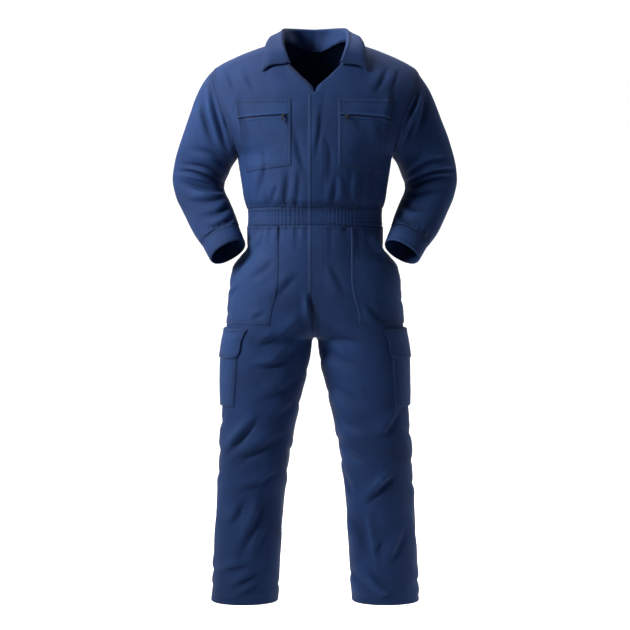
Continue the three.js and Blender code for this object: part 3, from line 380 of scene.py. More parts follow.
# The back, as seen from the front through the suit.
bodiceBackCreases = [
    (12, 5, -225, -75, -196, -140, -150, -215, -110, -262),
    (12, 4.5, -238, -120, -205, -190, -172, -250, -140, -330), (12, 5, 222, -80, 188, -150, 150, -205, 104, -248),
    (11, 4, 240, -112, 214, -176, 176, -262, 150, -318), (15, 3, -62, -140, -48, -220, -54, -318),
    (14, 3, 70, -170, 52, -250, 58, -340), (15, 2.2, 8, -120, 4, -200, 12, -290),
    (9, 3.4, -150, -345, -158, -380, -170, -412), (9, 3.4, 150, -338, 160, -376, 166, -410),
    (9, 3.2, -98, -300, -92, -352, -101, -408), (9, 3, 104, -290, 96, -350, 100, -405),
]
legBackCreases = [
    (13, 6, -20, -610, -62, -668, -110, -720, -150, -748), (13, 6, 24, -600, 70, -662, 118, -715, 156, -738),
    (12, 4.5, -26, -690, -70, -738, -128, -782), (12, 4.5, 28, -700, 74, -744, 130, -796),
    (12, 3.4, -150, -560, -128, -620, -96, -664), (12, 3.4, 152, -556, 130, -610, 104, -668),
    (12, 3, -44, -806, -92, -846, -150, -872), (12, 3, 46, -820, 90, -850, 150, -884),
    (10, 6.5, -218, -985, -170, -1012, -118, -1026, -80, -1022),
    (9, 6, -80, -1046, -130, -1070, -190, -1088, -228, -1084), (9, 4.5, -222, -1106, -170, -1128, -112, -1134),
    (11, 3.4, -104, -960, -150, -972, -198, -958), (10, 6.5, 222, -978, 176, -1008, 122, -1022, 82, -1012),
    (9, 5.5, 86, -1050, 134, -1078, 190, -1092, 232, -1086), (9, 4, 228, -1118, 180, -1136, 124, -1140),
    (11, 3.2, 104, -950, 152, -960, 204, -946), (11, 4, -116, -1170, -150, -1232, -196, -1290),
    (11, 3.4, -212, -1200, -186, -1262, -150, -1316), (11, 4, 122, -1180, 156, -1240, 206, -1300),
    (11, 3, 220, -1196, 196, -1258, 158, -1322), (9, 4.6, -126, -1352, -176, -1378, -232, -1372),
    (8, 3, -240, -1396, -196, -1408, -150, -1400), (9, 4.4, 128, -1344, 176, -1366, 230, -1386),
    (8, 2.8, 236, -1404, 200, -1412, 160, -1404),
]
sleeveBackCreases = [
    (8, 5.5, -262, -96, -256, -160, -238, -220, -216, -274), (10, 3.6, -300, -150, -284, -206, -254, -258),
    (9, 3.2, -352, -262, -312, -286, -262, -306, -228, -330),
    (9, 3, -366, -392, -318, -388, -272, -382, -232, -378), (8, 2.6, -340, -436, -300, -428, -256, -412),
    (8, 5.5, 262, -92, 258, -156, 240, -214, 218, -268), (10, 3.6, 302, -144, 288, -200, 258, -262),
    (9, 3.2, 350, -256, 310, -280, 264, -300, 230, -326), (9, 3, 364, -386, 320, -384, 270, -378, 232, -374),
    (8, 2.6, 342, -430, 300, -424, 258, -408),
]
# The outer side of a leg, by how far back and how high.
legSideCreases = [
    (10, 2.6, -70, -612, -20, -640, 40, -650), (9, 2, 50, -690, 0, -704, -50, -700),
    (12, 4, -60, -960, -10, -985, 50, -1000), (12, 4.5, 60, -1030, 10, -1052, -52, -1060),
    (11, 3.2, -46, -1096, 4, -1120, 54, -1112), (13, 3, -30, -1180, -6, -1240, 24, -1300),
    (10, 3.6, 48, -1348, 0, -1372, -48, -1364), (8, 2.2, 40, -1400, 0, -1412, -40, -1406),
]
# The inner side of a leg.
legInnerCreases = [
    (11, 3, -50, -800, 0, -824, 50, -836), (12, 3, -56, -892, -6, -908, 48, -930),
    (10, 4, 50, -1010, 0, -1030, -50, -1024), (11, 4, -54, -1060, 0, -1086, 46, -1098),
    (12, 2.6, -20, -1180, 8, -1240, 26, -1290), (10, 3.4, -44, -1360, 0, -1380, 46, -1392),
]
creaseStyle = {
    "bodice": 1.15, "leg": 2.6, "sleeve": 3.1,  # depth on each part
    "wide": 0.84, "longer": 0.35, "ridge": 0.75, "ridgeAt": 2.1, "ridgeWide": 1.9, "steps": 7,
}


def creaseRelief(creases, across, height, strength):
    # Each crease is a soft trough with a lower ridge on the side that the light comes from.
    total = np.zeros(np.broadcast(across, height).shape)
    for wide, deep, *path in creases:
        wide, deep = wide * creaseStyle["wide"], strength * math.copysign(abs(deep) ** 0.7, deep)
        points = np.array(path, float).reshape(-1, 2)
        first, last = points[0] - points[1], points[-1] - points[-2]
        points[0] += first * creaseStyle["longer"]
        points[-1] += last * creaseStyle["longer"]
        if len(points) > 2:
            ts = np.linspace(0, 1, creaseStyle["steps"] * (len(points) - 1) + 1)
            points = throughPoints(np.repeat(points[None], len(ts), 0), ts)
        reach = wide * 5.5
        near = (across > points[:, 0].min() - reach) & (across < points[:, 0].max() + reach)
        near &= (height > points[:, 1].min() - reach) & (height < points[:, 1].max() + reach)
        if not near.any():
            continue
        px, pz = across[near], height[near]
        best = np.full(px.shape, 1e9)
        off, along = np.zeros(px.shape), np.zeros(px.shape)
        count = len(points) - 1
        for k in range(count):
            dx, dz = points[k + 1] - points[k]
            length = math.hypot(dx, dz)
            ox, oz = px - points[k][0], pz - points[k][1]
            t = np.clip((ox * dx + oz * dz) / length ** 2, 0, 1)
            far = np.hypot(ox - t * dx, oz - t * dz)
            closer = far < best
            best = np.where(closer, far, best)
            off = np.where(closer, far * np.sign(dx * oz - dz * ox), off)
            along = np.where(closer, (k + t) / count, along)
        taper = ease(0, 0.45, along) * ease(1, 0.5, along)
        ridge = creaseStyle["ridge"] * bell(off / wide + creaseStyle["ridgeAt"], creaseStyle["ridgeWide"])
        total[near] += deep * taper * (ridge - bell(off / wide, 1))
    return total


def softNoise(values, seed, waves=7):
    # A sum of sine waves in fixed random directions: broad, soft unevenness.
    random = np.random.default_rng(seed)
    total = 0
    for _ in range(waves):
        direction = unit(random.normal(size=3))
        stretch = random.uniform(0.7, 1.5)
        total = total + np.sin(values @ direction * stretch + random.uniform(0, 2 * np.pi))
    return total / waves ** 0.5


slack = {"broad": 1.6, "broadSize": 36, "middle": 0.55, "middleSize": 17, "small": 0.3, "smallSize": 8}


def slackRelief(points):
    broad = softNoise(points * np.array([1, 1, 0.6]) / slack["broadSize"], 3)
    # The middle ripples run down and a little across, as the cloth hangs, and are folded to soft ridges.
    hang = points @ np.array([[1, 0, 0.25], [0, 1, 0], [0.35, 0, 0.42]])
    middle = 1 - 2 * np.abs(np.tanh(0.9 * softNoise(hang / slack["middleSize"], 7)))
    small = softNoise(points / slack["smallSize"], 5)
    calm = 0.25 + 0.75 * ease(-0.3, 0.9, softNoise(points / 60, 9))
    return slack["broad"] * broad + (slack["middle"] * middle + slack["small"] * small) * calm


elastic = {
    "halfWidth": 174, "frontDepth": 119, "backDepth": 104, "perRadian": 150,
    "pitch": 8.4, "ripple": 0.8, "bandRipple": 0.55, "rippleFade": 17,
    "pleats": 46, "pleatDeep": 2.5, "pleatWide": 6.5, "longest": 150,
}
pleatRandom = np.random.default_rng(21)
pleats = []
for index in range(elastic["pleats"]):
    pleats.append({
        "at": (index + pleatRandom.uniform(-0.32, 0.32)) * 2 * math.pi / elastic["pleats"] - math.pi,
        "up": pleatRandom.uniform(0.25, 1) ** 1.6 * elastic["longest"],
        "down": pleatRandom.uniform(0.2, 1) ** 1.8 * elastic["longest"] * 0.8,
        "deep": pleatRandom.uniform(0.55, 1.25) * elastic["pleatDeep"],
        "wide": pleatRandom.uniform(0.75, 1.3) * elastic["pleatWide"],
        "lean": pleatRandom.uniform(-0.09, 0.09),
    })


def gatherRelief(points):
    # Ripples on the elastic waistband, and pleats that run up and down from it.
    x, y, z = points[..., 0], points[..., 1], points[..., 2]
    depth = np.where(y < 0, elastic["frontDepth"], elastic["backDepth"])
    angle = np.arctan2(x / elastic["halfWidth"], -y / depth)
    girth = angle * elastic["perRadian"]
    distance = np.maximum(np.maximum(z - waistTop, waistBottom - z), 0)
    front = ease(16, 34, np.abs(girth)) * (0.28 + 0.72 * ease(128, 92, np.abs(girth)))
    share = np.maximum(front, ease(262, 320, np.abs(girth)))
    wander = 0.35 * np.sin(girth / 31) + 0.22 * np.sin(girth / 12.5 + 1)
    wave = np.cos(2 * np.pi * (girth / elastic["pitch"] + wander))
    size = np.where(distance > 0, elastic["ripple"], elastic["bandRipple"])
    total = share * size * wave * np.exp(-distance / elastic["rippleFade"])
    near = distance < elastic["longest"]
    for pleat in pleats:
        length = np.where(z > waistTop, pleat["up"], pleat["down"])
        off = girth - pleat["at"] * elastic["perRadian"] - pleat["lean"] * distance
        off = off - 2 * np.pi * elastic["perRadian"] * np.round(off / (2 * np.pi * elastic["perRadian"]))
        fade = ease(0, 9, distance) * ease(1, 0.15, distance / length) * (0.35 + 0.65 * share) * near
        trough = bell(off, pleat["wide"]) - 0.4 * bell(off + 1.8 * pleat["wide"], pleat["wide"] * 1.2)
        total = total - pleat["deep"] * fade * trough
    return total


def clothRelief(points, normals, part):
    # How far the cloth stands off its plain form, from where it is and which way it faces.
    x, y, z = points[..., 0], points[..., 1], points[..., 2]
    lists = {
        "bodice": (bodiceCreases, bodiceBackCreases),
        "leg": (legCreases, legBackCreases),
        "sleeve": (sleeveCreases, sleeveBackCreases),
    }[part]
    toFront, toBack = ease(0.05, 0.4, -normals[..., 1]), ease(0.05, 0.4, normals[..., 1])
    strength = creaseStyle[part]
    total = toFront * creaseRelief(lists[0], x, z, strength) + toBack * creaseRelief(lists[1], x, z, strength)
    if part == "leg":
        outer = ease(0.45, 0.85, normals[..., 0] * np.sign(x)) * ease(-560, -600, z)
        inner = ease(0.45, 0.85, -normals[..., 0] * np.sign(x)) * ease(-760, -800, z)
        shift = 14 * np.sign(x)
        total = total + outer * creaseRelief(legSideCreases, y, z + shift, strength * 0.5)
        total = total + inner * creaseRelief(legInnerCreases, y, z - shift, strength * 0.4)
    if part != "sleeve":
        total = total + gatherRelief(points)
    return total + slackRelief(points)


def fadeEdges(points, part):
    # The relief dies out at the shoulder, the armhole and the hem.
    x, z = np.abs(points[..., 0]), points[..., 2]
    if part == "bodice":
        shoulder = ease(0, 30, shoulderHeight(points[..., 0]) - z)
        hole = ease(0, 22, np.interp(z, [-289, -242, -182, -122, -62], [205, 213, 231, 257, 268]) - x)
        return np.where(z > armpit, shoulder * hole, 1)
    if part == "leg":
        return 0.35 + 0.65 * ease(0, 30, z - hem)
    return 1


# The large panels as forms of (u, v), each with the hand that turns its normal outward.
def clothSurface(form, hand, part, u, v):
    points = form(u, v)
    normals = outward(form, hand, u, v)
    height = clothRelief(points, normals, part) * fadeEdges(points, part)
    if part == "leg":
        # Towards the centre seam the relief runs straight to the front or back, so the halves stay shut.
        centre = ease(34, 4, np.abs(points[..., 0])) * ease(crotch - 24, crotch, points[..., 2])
        straight = np.sign(normals[..., 1])[..., None] * np.array([0, 1, 0])
        normals = unit(mix(normals, straight, centre[..., None]))
    return points, normals, height


def locate(form, x, z, u, v):
    # The (u, v) at which a form is seen from the front at x and z.
    step = 0.001
    for _ in range(8):
        here = form(u, v)
        du, dv = (form(u + step, v) - here) / step, (form(u, v + step) - here) / step
        turn = du[..., 0] * dv[..., 2] - dv[..., 0] * du[..., 2]
        offX, offZ = x - here[..., 0], z - here[..., 2]
        u = np.clip(u + (offX * dv[..., 2] - dv[..., 0] * offZ) / turn, 0, 1)
        v = np.clip(v + (du[..., 0] * offZ - offX * du[..., 2]) / turn, 0, 1)
    return u, v


def onChest(x, z):
    x, z = np.broadcast_arrays(np.asarray(x, float), np.asarray(z, float))
    found = []
    for side in (1, -1):
        form = lambda u, v, side=side: bodiceForm(side, -1, u, v)
        u, v = locate(form, x, z, np.clip(np.abs(x) / 260, 0, 1), np.clip((z - waistTop) / -waistTop, 0, 1))
        found.append(clothSurface(form, side, "bodice", u, v))
    return [np.where((x < 0) if one.ndim == x.ndim else (x < 0)[..., None], other, one)
            for one, other in zip(*found)]


def onBand(x, z):
    half = curveAt(torso, "z", "half", z)
    angle = -np.arccos(power(x / half, squareness / 2))
    points, normals = bandForm(angle, z), outward(bandForm, 1, angle, z)
    return points, normals, gatherRelief(points)


def onLeg(side, angle, z):
    form = lambda turn, down: legForm(side, turn, -down)
    return clothSurface(form, -side, "leg", angle, -z)


def marks(length, spacing, closeStart=True, closeEnd=True, extra=()):
    # Shares of a length, closer together next to a seam and at any extra places.
    steps = np.array(cloth["edgeSteps"], float)
    start = steps if closeStart else np.array([0.0])
    end = length - steps[::-1] if closeEnd else np.array([float(length)])
    middle = np.linspace(start[-1], end[0], max(int((end[0] - start[-1]) / spacing), 2) + 1)[1:-1]
    return np.unique(np.round(np.concatenate([start, middle, end, extra]), 3)) / length


pieces = {}
collection = bpy.context.scene.collection


def meshObject(name, vertices, faces, material, smooth=True):
    mesh = bpy.data.meshes.new(name)
    mesh.from_pydata(np.asarray(vertices).tolist(), [], np.asarray(faces).tolist())
    mesh.polygons.foreach_set("use_smooth", np.full(len(mesh.polygons), smooth))
    mesh.materials.append(material)
    made = bpy.data.objects.new(name, mesh)
    collection.objects.link(made)
    return made


def sheet(name, hand, uMarks, vMarks, surface, thick=None, tube=False, seams="ud", turnUp=None, sewnAt=None):
    # One panel of cloth as a closed thin shell. seams names the sewn edges: l, r, d and u.
    thick = cloth["thick"] if thick is None else thick
    u, v = np.meshgrid(uMarks[:-1] if tube else uMarks, vMarks)
    points, normals, height = surface(u, v)
    wrapped = np.concatenate([points, points[:, :1]], 1) if tube else points
    alongU = np.linalg.norm(np.diff(wrapped, axis=1), axis=-1)
    sumU = np.concatenate([np.zeros((len(points), 1)), np.cumsum(alongU, 1)], 1)
    fromLeft, totalU = sumU[:, :u.shape[1]], sumU[:, -1:]
    alongV = np.linalg.norm(np.diff(points, axis=0), axis=-1)
    fromDown = np.concatenate([np.zeros((1, points.shape[1])), np.cumsum(alongV, 0)])
    totalV = fromDown[-1:]
    edges = {"l": fromLeft, "r": totalU - fromLeft, "d": fromDown, "u": totalV - fromDown}
    nearest = np.full(u.shape, 1e3)
    # The stitch rows, grooved in the cloth and painted darker as shade in its colour.
    rowGrooveAndShade = sewnAt(u, v) if sewnAt else np.zeros(u.shape)
    for key, distance in edges.items():
        if key in seams:
            alongEdge = points[..., 2] if key in "lr" else points[..., 0] + points[..., 1]
            wobble = np.sin(2 * np.pi * alongEdge / cloth["puckerPitch"] + 2.2 * np.sin(alongEdge / 37))
            calm = 0.55 + 0.45 * np.sin(alongEdge / 53 + 1)
            reach = np.exp(-distance / cloth["puckerReach"]) * ease(0, 3, distance)
            height = height + cloth["pucker"] * wobble * calm * reach
            height = height + cloth["seamRidge"] * ease(1, 3, distance) * ease(10, 7.5, distance)
            nearest = np.minimum(nearest, distance)
            for at in cloth["rowsAt"]:
                rowGrooveAndShade = np.maximum(rowGrooveAndShade, bell(distance - at, cloth["rowWide"]))
    height = height - cloth["rowDeep"] * rowGrooveAndShade
    for distance in edges.values() if not tube else (edges["d"], edges["u"]):
        height = height - cloth["roll"] * bell(distance, cloth["rollWide"])
    outer = points + normals * height[..., None]
    depth = np.full(u.shape, float(thick))
    if turnUp:
        depth = np.where(edges[turnUp] < cloth["hemDeep"], cloth["doubled"], thick)
    inner = outer - normals * depth[..., None]
    rows, columns = u.shape
    index = np.arange(rows * columns).reshape(rows, columns)
    right = np.roll(index, -1, 1) if tube else index[:, 1:]
    left = index if tube else index[:, :-1]
    count = rows * columns
    front = np.stack([left[:-1], right[:-1], right[1:], left[1:]], -1).reshape(-1, 4)
    faces = [front, front[:, ::-1] + count]
    rims = [(index[0], True), (index[-1], False)]
    for line, flip in rims:
        following = np.roll(line, -1) if tube else line[1:]
        start = line if tube else line[:-1]
        quad = np.stack([following, start, start + count, following + count], -1)
        faces.append(quad if flip else quad[:, ::-1])
    if not tube:
        for line, flip in ((index[:, 0], False), (index[:, -1], True)):
            quad = np.stack([line[1:], line[:-1], line[:-1] + count, line[1:] + count], -1)
            faces.append(quad if flip else quad[:, ::-1])
    faces = np.concatenate(faces)
    vertices = np.concatenate([outer.reshape(-1, 3), inner.reshape(-1, 3)]) * mm
    middle = front[len(front) // 2]
    corner = vertices[middle]
    if np.dot(np.cross(corner[1] - corner[0], corner[3] - corner[0]), normals.reshape(-1, 3)[middle[0]]) < 0:
        faces = faces[:, ::-1]
    made = meshObject(f"{name}_cloth", vertices, faces, twill)
    uv = np.stack([fromLeft, fromDown], -1).reshape(-1, 2) * mm
    paint(made, np.concatenate([uv, uv]), *(np.tile(values.reshape(-1), 2) for values in (height, nearest, rowGrooveAndShade)))
    sharpenRims(made, index, count, tube)
    piece = {
        "name": name, "object": made, "points": outer, "normals": normals, "uMarks": uMarks, "vMarks": vMarks,
        "edges": edges, "tube": tube,
    }
    pieces[name] = piece
    return piece


def paint(made, uv, height, nearest, sewn):
    # The weave follows the panel's grain by its UVs. Three attributes tint the colour: a painted highlight on raised
    # cloth, real wear by the seams, and a painted shade along the rows of stitches.
    mesh = made.data
    corners = np.zeros(len(mesh.loops), int)
    mesh.loops.foreach_get("vertex_index", corners)
    mesh.uv_layers.new(name="grain").data.foreach_set("uv", uv[corners].astype(np.float32).ravel())
    # The relief height drives a painted highlight: raised cloth is coloured lighter.
    tints = (("foldHighlight", np.clip(height / 8, -1, 1)), ("seam", np.exp(-nearest / 3.2)), ("sewn", sewn))
    for name, values in tints:
        mesh.attributes.new(name, "FLOAT", "POINT").data.foreach_set("value", values.astype(np.float32))


def sharpenRims(made, index, count, tube):
    mesh = made.data
    rim = np.zeros(count, bool)
    rim[index[0]] = rim[index[-1]] = True
    if not tube:
        rim[index[:, 0]] = rim[index[:, -1]] = True
    rim = np.tile(rim, 2)
    ends = np.zeros(len(mesh.edges) * 2, int)
    mesh.edges.foreach_get("vertices", ends)
    ends = ends.reshape(-1, 2)
    sameLayer = (ends[:, 0] < count) == (ends[:, 1] < count)
    sharp = rim[ends[:, 0]] & rim[ends[:, 1]] & sameLayer
    mesh.attributes.new("sharp_edge", "BOOLEAN", "EDGE").data.foreach_set("value", sharp)


def fixTo(made):
    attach(made, "garment")


def dress(piece):
    made = piece["object"]
    fixTo(made)
    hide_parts(piece["name"])


def linear(hexColour):
    channels = [int(hexColour[i:i + 2], 16) / 255 for i in (0, 2, 4)]
    return [c / 12.92 if c <= 0.04045 else ((c + 0.055) / 1.055) ** 2.4 for c in channels] + [1]


def feed(tree, node, inputs):
    # An input takes a plain value or the output of another node.
    for key, value in inputs.items():
        if isinstance(value, bpy.types.NodeSocket):
            tree.links.new(value, node.inputs[key])
        else:
            node.inputs[key].default_value = value


def addNode(tree, kind, inputs=None, **settings):
    node = tree.nodes.new("ShaderNode" + kind)
    for key, value in settings.items():
        setattr(node, key, value)
    feed(tree, node, inputs or {})
    return node


def noise(tree, place, scale, detail, roughness):
    inputs = {"Vector": place, "Scale": scale, "Detail": detail, "Roughness": roughness}
    return addNode(tree, "TexNoise", inputs).outputs["Fac"]


def ranged(tree, value, toLow, toHigh, low=0, high=1):
    inputs = {"Value": value, "From Min": low, "From Max": high, "To Min": toLow, "To Max": toHigh}
    return addNode(tree, "MapRange", inputs).outputs["Result"]


def calculated(tree, operation, *terms):
    return addNode(tree, "Math", dict(enumerate(terms)), operation=operation).outputs[0]


def blended(tree, share, first, second, blend="MIX"):
    inputs = {0: share, 6: first, 7: second}
    return addNode(tree, "Mix", inputs, data_type="RGBA", blend_type=blend).outputs["Result"]


def ramped(tree, value, low, high, dark, light):
    ramp = addNode(tree, "ValToRGB", {"Fac": value})
    for element, at, colour in zip(ramp.color_ramp.elements, (low, high), (dark, light)):
        element.position, element.color = at, linear(colour)
    return ramp.outputs["Color"]


def bumped(tree, height, strength, distance, under=None):
    inputs = {"Height": height, "Strength": strength, "Distance": distance}
    if under is not None:
        inputs["Normal"] = under
    return addNode(tree, "Bump", inputs).outputs["Normal"]


def newMaterial(name):
    material = bpy.data.materials.new(name)
    material.use_nodes = True
    tree = material.node_tree
    tree.nodes.clear()
    shader = addNode(tree, "BsdfPrincipled")
    addNode(tree, "OutputMaterial", {"Surface": shader.outputs["BSDF"]})
    return material, tree, shader


# Vat-dyed polycotton twill, 65/35: matt, with fine steep diagonals and a faint lustre on its folds, which is a
# painted highlight on raised cloth; the rows of stitches carry a painted shade.
twillLook = {
    # light is a painted highlight for raised cloth, row a painted shade for the stitch rows, worn the real wear by
    # the seams.
    "deep": "132c59", "mid": "1a376b", "light": "27487f", "worn": "305189", "row": "0a1836",
    "diagonal": 2.6,  # real ribs lie 0.6 mm apart; drawn wider so that they show
    "slub": 5.5,  # uneven yarns, mm
    "shade": 90,  # slow change of the dye, mm
    "roughness": 0.74, "sheen": 0.03, "sheenRoughness": 0.4, "sheenTint": "5f7fb8",
    "specular": 0.24, "weaveBump": 0.5, "crumpleBump": 0.35,
}


def makeTwill(name, look):
    material, tree, shader = newMaterial(name)
    uv = addNode(tree, "UVMap", uv_map="grain").outputs["UV"]
    place = addNode(tree, "TexCoord").outputs["Object"]
    attribute = lambda key: addNode(tree, "Attribute", attribute_name=key).outputs["Fac"]
    parts = addNode(tree, "SeparateXYZ", {"Vector": uv}).outputs
    steep = calculated(tree, "MULTIPLY", parts["Y"], 0.6)
    across = calculated(tree, "ADD", parts["X"], steep)
    phase = calculated(tree, "MULTIPLY", across, 2 * math.pi / (look["diagonal"] * mm))
    rib = calculated(tree, "SINE", phase)
    yarn = addNode(tree, "Mapping", {"Vector": uv, "Scale": (1, 0.22, 1)}).outputs["Vector"]
    slub = noise(tree, yarn, 1 / (look["slub"] * mm) * 1.6, 4, 0.65)
    shade = noise(tree, place, 1 / (look["shade"] * mm), 3, 0.5)
    dye = ramped(tree, shade, 0.3, 0.72, look["deep"], look["mid"])
    # Painted highlight: raised cloth is mixed towards the light colour.
    highlightShare = ranged(tree, attribute("foldHighlight"), 0, 0.42, -0.15, 0.7)
    folded = blended(tree, highlightShare, dye, linear(look["light"]))
    patchy = ranged(tree, noise(tree, place, 260, 2, 0.6), 0, 0.5, 0.4, 0.75)
    rub = calculated(tree, "MULTIPLY", attribute("seam"), patchy)
    rubbed = blended(tree, rub, folded, linear(look["worn"]))
    # Painted shade along the rows of stitches: mixed towards the row colour.
    rowShaded = blended(tree, calculated(tree, "MULTIPLY", attribute("sewn"), 0.7), rubbed, linear(look["row"]))
    tone = ranged(tree, slub, 0.8, 1.18, 0.25, 0.75)
    weave = calculated(tree, "MULTIPLY_ADD", rib, 0.3, slub)
    bump = bumped(tree, weave, look["weaveBump"], 0.0008)
    crumple = noise(tree, place, 62, 3, 0.5)
    feed(tree, shader, {
        "Base Color": blended(tree, 1, rowShaded, tone, "MULTIPLY"),
        "Roughness": ranged(tree, slub, look["roughness"] - 0.08, look["roughness"] + 0.1),
        "Normal": bumped(tree, crumple, look["crumpleBump"], 0.002, bump),
        "Sheen Weight": look["sheen"], "Sheen Roughness": look["sheenRoughness"],
        "Sheen Tint": linear(look["sheenTint"]), "Specular IOR Level": look["specular"],
    })
    return material


# A plain finish with soft mottling: thread, tape, metal or paper.
def makePlain(name, look):
    material, tree, shader = newMaterial(name)
    place = addNode(tree, "TexCoord").outputs["Object"]
    grain = noise(tree, place, 1 / (look["grain"] * mm), 4, 0.6)
    feed(tree, shader, {
        "Base Color": ramped(tree, grain, 0.32, 0.7, look["dark"], look["light"]),
        "Roughness": ranged(tree, grain, look["roughness"] - 0.06, look["roughness"] + 0.08),
        "Normal": bumped(tree, grain, look["bump"], 0.0003), "Metallic": look["metallic"],
    })
    return material


twill = makeTwill("navy_polycotton_twill", twillLook)
# Core-spun polyester thread, a shade lighter than the twill, with a slight gloss.
thread = makePlain("spun_polyester_thread", {
    "dark": "1b315f", "light": "27457c", "grain": 1.5, "roughness": 0.55, "bump": 0.3, "metallic": 0,
})
# Woven polyester zip tape, nearly black in its slit.
tape = makePlain("woven_zip_tape", {
    "dark": "14213f", "light": "1f3260", "grain": 1.2, "roughness": 0.85, "bump": 0.6, "metallic": 0,
})
# Zinc casting in black nickel plate, tumbled: dark, with worn bright edges.
gunmetal = makePlain("black_nickel_zinc", {
    "dark": "4b4f57", "light": "8d929c", "grain": 2.5, "roughness": 0.34, "bump": 0.15, "metallic": 1,
})
# Moulded nylon zip coil.
coil = makePlain("moulded_nylon_coil", {
    "dark": "141c33", "light": "27355c", "grain": 1.0, "roughness": 0.4, "bump": 0.2, "metallic": 0,
})
# Seamless background paper.
paper = makePlain("seamless_paper", {
    "dark": "f1f1f0", "light": "f6f6f5", "grain": 30, "roughness": 0.9, "bump": 0.05, "metallic": 0,
})
print("materials made")

sides = ((1, "left"), (-1, "right"))


def sewEdges(piece, rows):
    # Rows of (edges, distances from them, start and end as shares of their length).
    for edges, distances, start, end in rows:
        for edge in edges:
            edgeStitch(piece, edge, distances, start, end)


def makeBodice():
    rows = marks(452, cloth["spacing"])
    trim = seamGap / 2 / 280
    for side, word in sides:
        form = lambda u, v: bodiceForm(side, -1, u, v)
        piece = sheet(f"bodice_front_{word}", side, trim + marks(280, 3.6) * (1 - 2 * trim), rows,
                      lambda u, v: clothSurface(form, side, "bodice", u, v), seams="rdu")
        dress(piece)
    form = lambda u, v: np.where(
        (u < 0)[..., None], bodiceForm(-1, 1, np.abs(u), v), bodiceForm(1, 1, np.abs(u), v))
    piece = sheet("bodice_back", -1, marks(560, 3.8) * 1.999 - 0.9995, rows,
                  lambda u, v: clothSurface(form, -1, "bodice", u, v), seams="lrdu")
    dress(piece)


waistband = {"height": 45, "rows": (0.26, 0.5, 0.74), "rowWide": 1.6, "rowDeep": 0.35, "ease": 1.12}


def makeWaistband():
    low, high = waistBottom + seamGap / 2, waistTop - seamGap / 2
    quarter = math.pi / 2
    runs = (("waistband_front_left", -quarter, 0, 250), ("waistband_front_right", -2 * quarter, -quarter, 250),
            ("waistband_back", 0, 2 * quarter, 500))
    for name, start, end, length in runs:
        form = lambda u, v: bandForm(mix(start + 0.001, end - 0.001, u), mix(low, high, v))

        def surface(u, v):
            points, normals = form(u, v), outward(form, 1, u, v)
            rows = sum(bell((v - at) * waistband["height"], waistband["rowWide"]) for at in waistband["rows"])
            return points, normals, gatherRelief(points) * (1 - 0.55 * rows) - waistband["rowDeep"] * rows

        piece = sheet(name, 1, marks(length, 2.1), marks(waistband["height"], 2.6), surface, seams="du", thick=1.8)
        dress(piece)
        for at in waistband["rows"]:
            stitchPath(piece, [(0.01, at), (0.99, at)])


trouserLength = 975


def makeTrousers():
    down = marks(trouserLength, 4.7)
    hemAt = 1 - cloth["hemDeep"] / trouserLength
    for side, word in sides:
        for face, half in ((-1, "front"), (1, "back")):
            form = lambda u, v: trouserForm(side, face, u, v)
            piece = sheet(f"trouser_{half}_{word}", side * face, marks(330, 4.3), down,
                          lambda u, v: clothSurface(form, side * face, "leg", u, v), seams="lrd", turnUp="u")
            dress(piece)
            stitchPath(piece, [(0, hemAt), (1, hemAt)])
            sewEdges(piece, [("l", (3, 9.5), 0.32, 0.99)] if face < 0 else [("r", (3, 9.5), 0.01, 0.99)])


sleeve = {"columns": 105, "tucks": 19, "tuckDeep": 1.3, "cuffSwell": 0.9, "cuffWidth": 45}


def makeSleeves():
    around = np.linspace(0, 1, sleeve["columns"])
    for side, word in sides:
        form = lambda u, v: sleeveForm(side, u, v)

        def surface(u, v):
            points, normals, height = clothSurface(form, -side, "sleeve", u, v)
            wave = np.cos(2 * np.pi * (u * sleeve["tucks"] + 0.5 * np.sin(u * 23)))
            tuck = sleeve["tuckDeep"] * wave * ease(0.9, 1, v)
            return points, normals, (height + tuck * ease(1, 0.985, v)) * ease(0, 0.05, v)

        piece = sheet(f"sleeve_{word}", -side, around, 0.003 + 0.997 * marks(520, 4.4), surface, tube=True)
        dress(piece)
        edgeStitch(piece, "d", (2.5, 8.5), 0, 1)
        stitchPath(piece, [(0.985, 0.02), (0.985, 0.985)])
        cuff = lambda u, v: ringForm(side, cuffRings, u, v)

        def cuffSurface(u, v):
            points, normals = cuff(u, v), outward(cuff, -side, u, v)
            swell = sleeve["cuffSwell"] * bell((v - 0.5) * sleeve["cuffWidth"], 26)
            return points, normals, slackRelief(points) * 0.5 + swell

        piece = sheet(f"cuff_{word}", -side, around, 0.012 + 0.988 * marks(46, 3), cuffSurface, tube=True,
                      thick=cloth["doubled"])
        dress(piece)
        sewEdges(piece, [("d", (2.5, 8), 0, 1), ("u", (3,), 0, 1)])


def makeCollar():
    def surface(u, v):
        points, normals = collarForm(u, v), outward(collarForm, -1, u, v)
        return points, normals, slackRelief(points) * 0.45 * ease(0, 0.25, v)

    piece = sheet("collar", -1, 0.001 + 0.998 * marks(480, 4.4), marks(150, 3.6), surface, seams="lru",
                  thick=cloth["doubled"])
    dress(piece)
    sewEdges(piece, [("u", (6,), 0.012, 0.988), ("lr", (6,), 0.42, 0.965)])


placket = {
    "inner": -17, "outer": 33, "stand": 1.7, "sink": -0.5, "stitchX": 29, "rowGap": 5.5, "rowWide": 1.3,
    "flyBottom": -668, "curve": 58,
}


